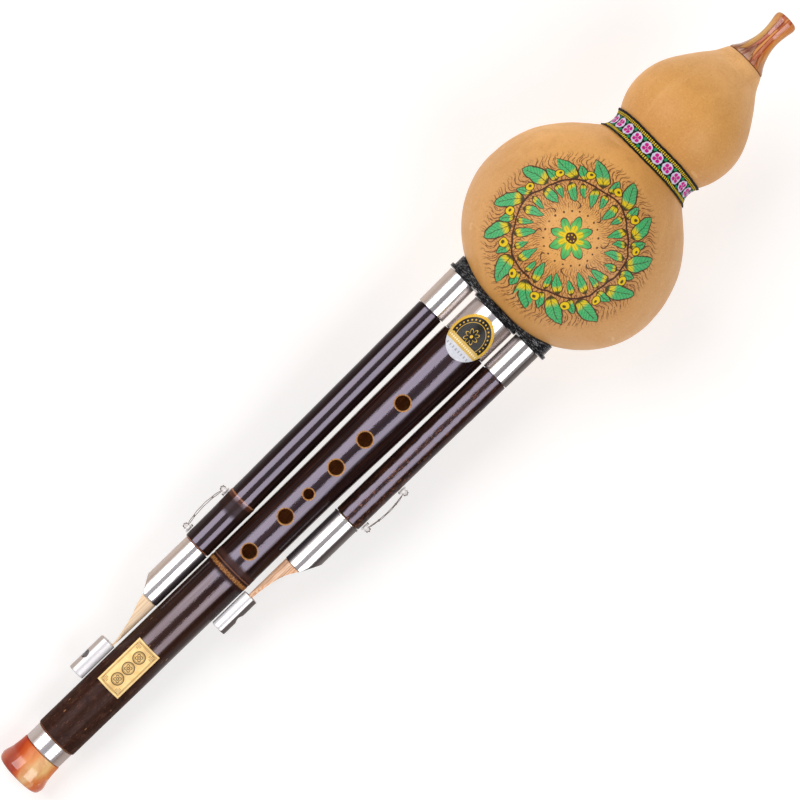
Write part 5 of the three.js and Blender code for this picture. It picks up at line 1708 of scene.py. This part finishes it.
def build_stopper(d):
    """Round head inside the sleeve, and a tongue outside it, shaved to a long hollow curve."""
    b = Build()
    k = (d["bevel_x"] - d["sleeve_x0"]) / (d["sleeve_r"] - d["bevel_v"])
    x1 = d["sleeve_x0"] + 20.4
    tip = d["tongue"][0][0]
    top = smooth(d["tongue"], 0.8)
    bottom = d["tongue_in"]
    RT, RH = d["sleeve_r"] - 0.25, 5.65
    xg = d["sleeve_x0"] - 0.35
    stations = []
    x = tip
    while x < xg - 0.05:
        stations.append((x, RT))
        x += 0.7
    stations += [(xg, RT), (xg + 0.05, RH)]
    x = d["sleeve_x0"] + 0.1
    while x < x1 - 0.5:
        stations.append((x, RH))
        x += 0.8
    stations += [(x1 - 0.35, RH), (x1 - 0.1, RH - 0.12), (x1, RH - 0.4)]
    NA, NC = 44, 16
    rows = []
    for x, R in stations:
        if x <= xg:
            c = lerp(top, x)
            v_in = lerp(bottom, x)
        else:
            c = d["bevel_v"] + (x - 0.5 - d["sleeve_x0"]) / k
            c = max(c, d["bevel_v"] - 0.1)
            v_in = -99.0
        c = min(c, R * 0.9995)
        tm = math.acos(max(-1.0, min(1.0, -c / R)))
        # narrows to the cap
        w = lerp([(tip, d["tip"]), (d["cap_x1"] + 0.4, d["tip"]), (d["cap_x1"] + 3.0, d["tip"] + 0.7), (d["cap_x1"] + 13, 6.6)], x)
        pts = []
        for i in range(NA + 1):
            t = -tm + 2 * tm * i / NA
            v, z = -R * math.cos(t), R * math.sin(t)
            pts.append((v, z))
        for i in range(1, NC):
            f = i / NC
            z = R * math.sin(tm) * (1 - 2 * f)
            pts.append((c, z))
        ring = []
        for v, z in pts:
            if abs(z) > w:
                z = math.copysign(w, z)
            v = max(v, v_in)
            if x <= xg:
                v += 0.05 * wave(x, v, z, 0.6, 3.0)
            ring.append((x, d["side"] * v, z))
        rows.append(b.ring(ring))
    for p, q in zip(rows, rows[1:]):
        b.join(p, q)
    for r_ in (rows[0], rows[-1]):
        c = [sum(b.v[i][j] for i in r_) / len(r_) for j in range(3)]
        b.fan(r_, b.point(tuple(c)))
    return mesh_from("stopper", b, merge=0.004)


def build_cap(d):
    x0, x1, R = d["cap_x0"], d["cap_x1"], d["cap_r"]
    ri = R - 0.42
    prof = fillet([(x0, 0.0), (x0, R, 0.45), (x1, R, 0.16), (x1, ri, 0.12), (x0 + 0.9, ri, 0.2), (x0 + 0.9, 0.0)], closed=False)
    me = mesh_from("cap", turned(split_long(prof, 0.8, closed=False), 80, closed=False))
    c = Build()
    turned([(0, 0), (0, 2.3), (8, 2.3), (8, 0)], 48, c, closed=False)
    a = math.radians(d["eye_tilt"])
    e1 = Vector((0, d["side"] * math.cos(a), math.sin(a)))
    e2 = Vector((0, -math.sin(a) * d["side"], math.cos(a)))
    c.v = [tuple(Vector((d["eye_x"] + z, 0, 0)) + e1 * x + e2 * y) for x, y, z in c.v]
    return drilled(me, mesh_from("cut", c))


WOODS = {"left": mat_wood("pale_wood", rgb(252, 226, 194), rgb(238, 202, 160), 1.0, 0.12),
         "right": mat_wood("ruddy_wood", rgb(246, 212, 182), rgb(210, 142, 90), 7.0, 0.8, 138.0)}
for side, d in DRONES.items():
    s_ = d["side"]
    on_axis = drone_axes(d)
    foot = shifted(0, s_ * d["sleeve_y"], 0)
    capm = shifted(0, s_ * (d["sleeve_y"] + d["cap_v"]), 0)
    drone, stopper = f"{side}_drone", f"{side}_stopper"
    place(f"{side}_drone_bamboo", build_drone(d), [mat_drone_bamboo(side), BORE], on_axis, drone, [f"{side}_drone_pipe"],
          "lacquered_bamboo" if side == "left" else "speckled_bamboo", sharp=32)
    place(f"{side}_ferrule_metal", mesh_from("df", turned(split_long(fillet([
        (279.0, d["ferrule"], 0.25), (299.2, d["ferrule"], 0.25), (299.2, 6.3, 0.2), (279.0, 6.3, 0.2)]), 1.0), 88)), [METAL[side]], on_axis,
        drone, [f"{side}_ferrule"], "white_metal", sharp=50)
    surf = lerp(d["outer"], d["loop_x"] + 14) + 0.05
    place(f"{side}_loop_cast", build_loop(side, d, surf), [mat_cast_metal(side, d, surf)], on_axis, drone, [f"{side}_loop"], "white_metal", sharp=60)
    place(f"{side}_sleeve_metal", build_sleeve(d), [METAL[f"{side}_sleeve"]], foot, drone, [f"{side}_outlet_sleeve"], "white_metal", sharp=40)
    place(f"{side}_stopper_wood", build_stopper(d), [WOODS[side]], foot, stopper, [f"{side}_stopper"],
          "pale_wood" if side == "left" else "ruddy_wood", sharp=38)
    place(f"{side}_cap_metal", build_cap(d), [METAL[f"{side}_cap"]], capm, stopper, [f"{side}_stopper_cap"], "white_metal", sharp=40)

# ------------------------------------------------------------------ what stays from the frame
RESIN, BRASS = mat_dark_resin(), mat_reed_brass()
for node, mat in [(f"{p}_reed_tube", RESIN) for p in ("main", "left", "right")] + [(f"{p}_reed_plate", BRASS) for p in ("main", "left", "right")] \
        + [(f"{p}_reed_tube_cap", RESIN) for p in ("main", "left", "right")]:
    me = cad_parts[node].data
    me.materials.clear()
    me.materials.append(mat)

# ------------------------------------------------------------------ floor
fb = Build()
F = 3000.0
n = 24
grid = [[fb.point((-F + 2 * F * i / n, -F + 2 * F * j / n, -0.15)) for j in range(n + 1)] for i in range(n + 1)]
for i in range(n):
    for j in range(n):
        fb.f.append((grid[i][j], grid[i + 1][j], grid[i + 1][j + 1], grid[i][j + 1]))
        fb.mi.append(0)
fme = bpy.data.meshes.new("floor")
fme.from_pydata([(x * MM, y * MM, z * MM) for x, y, z in fb.v], [], fb.f)
fme.materials.append(mat_floor())
floor = bpy.data.objects.new("floor", fme)
bpy.context.scene.collection.objects.link(floor)
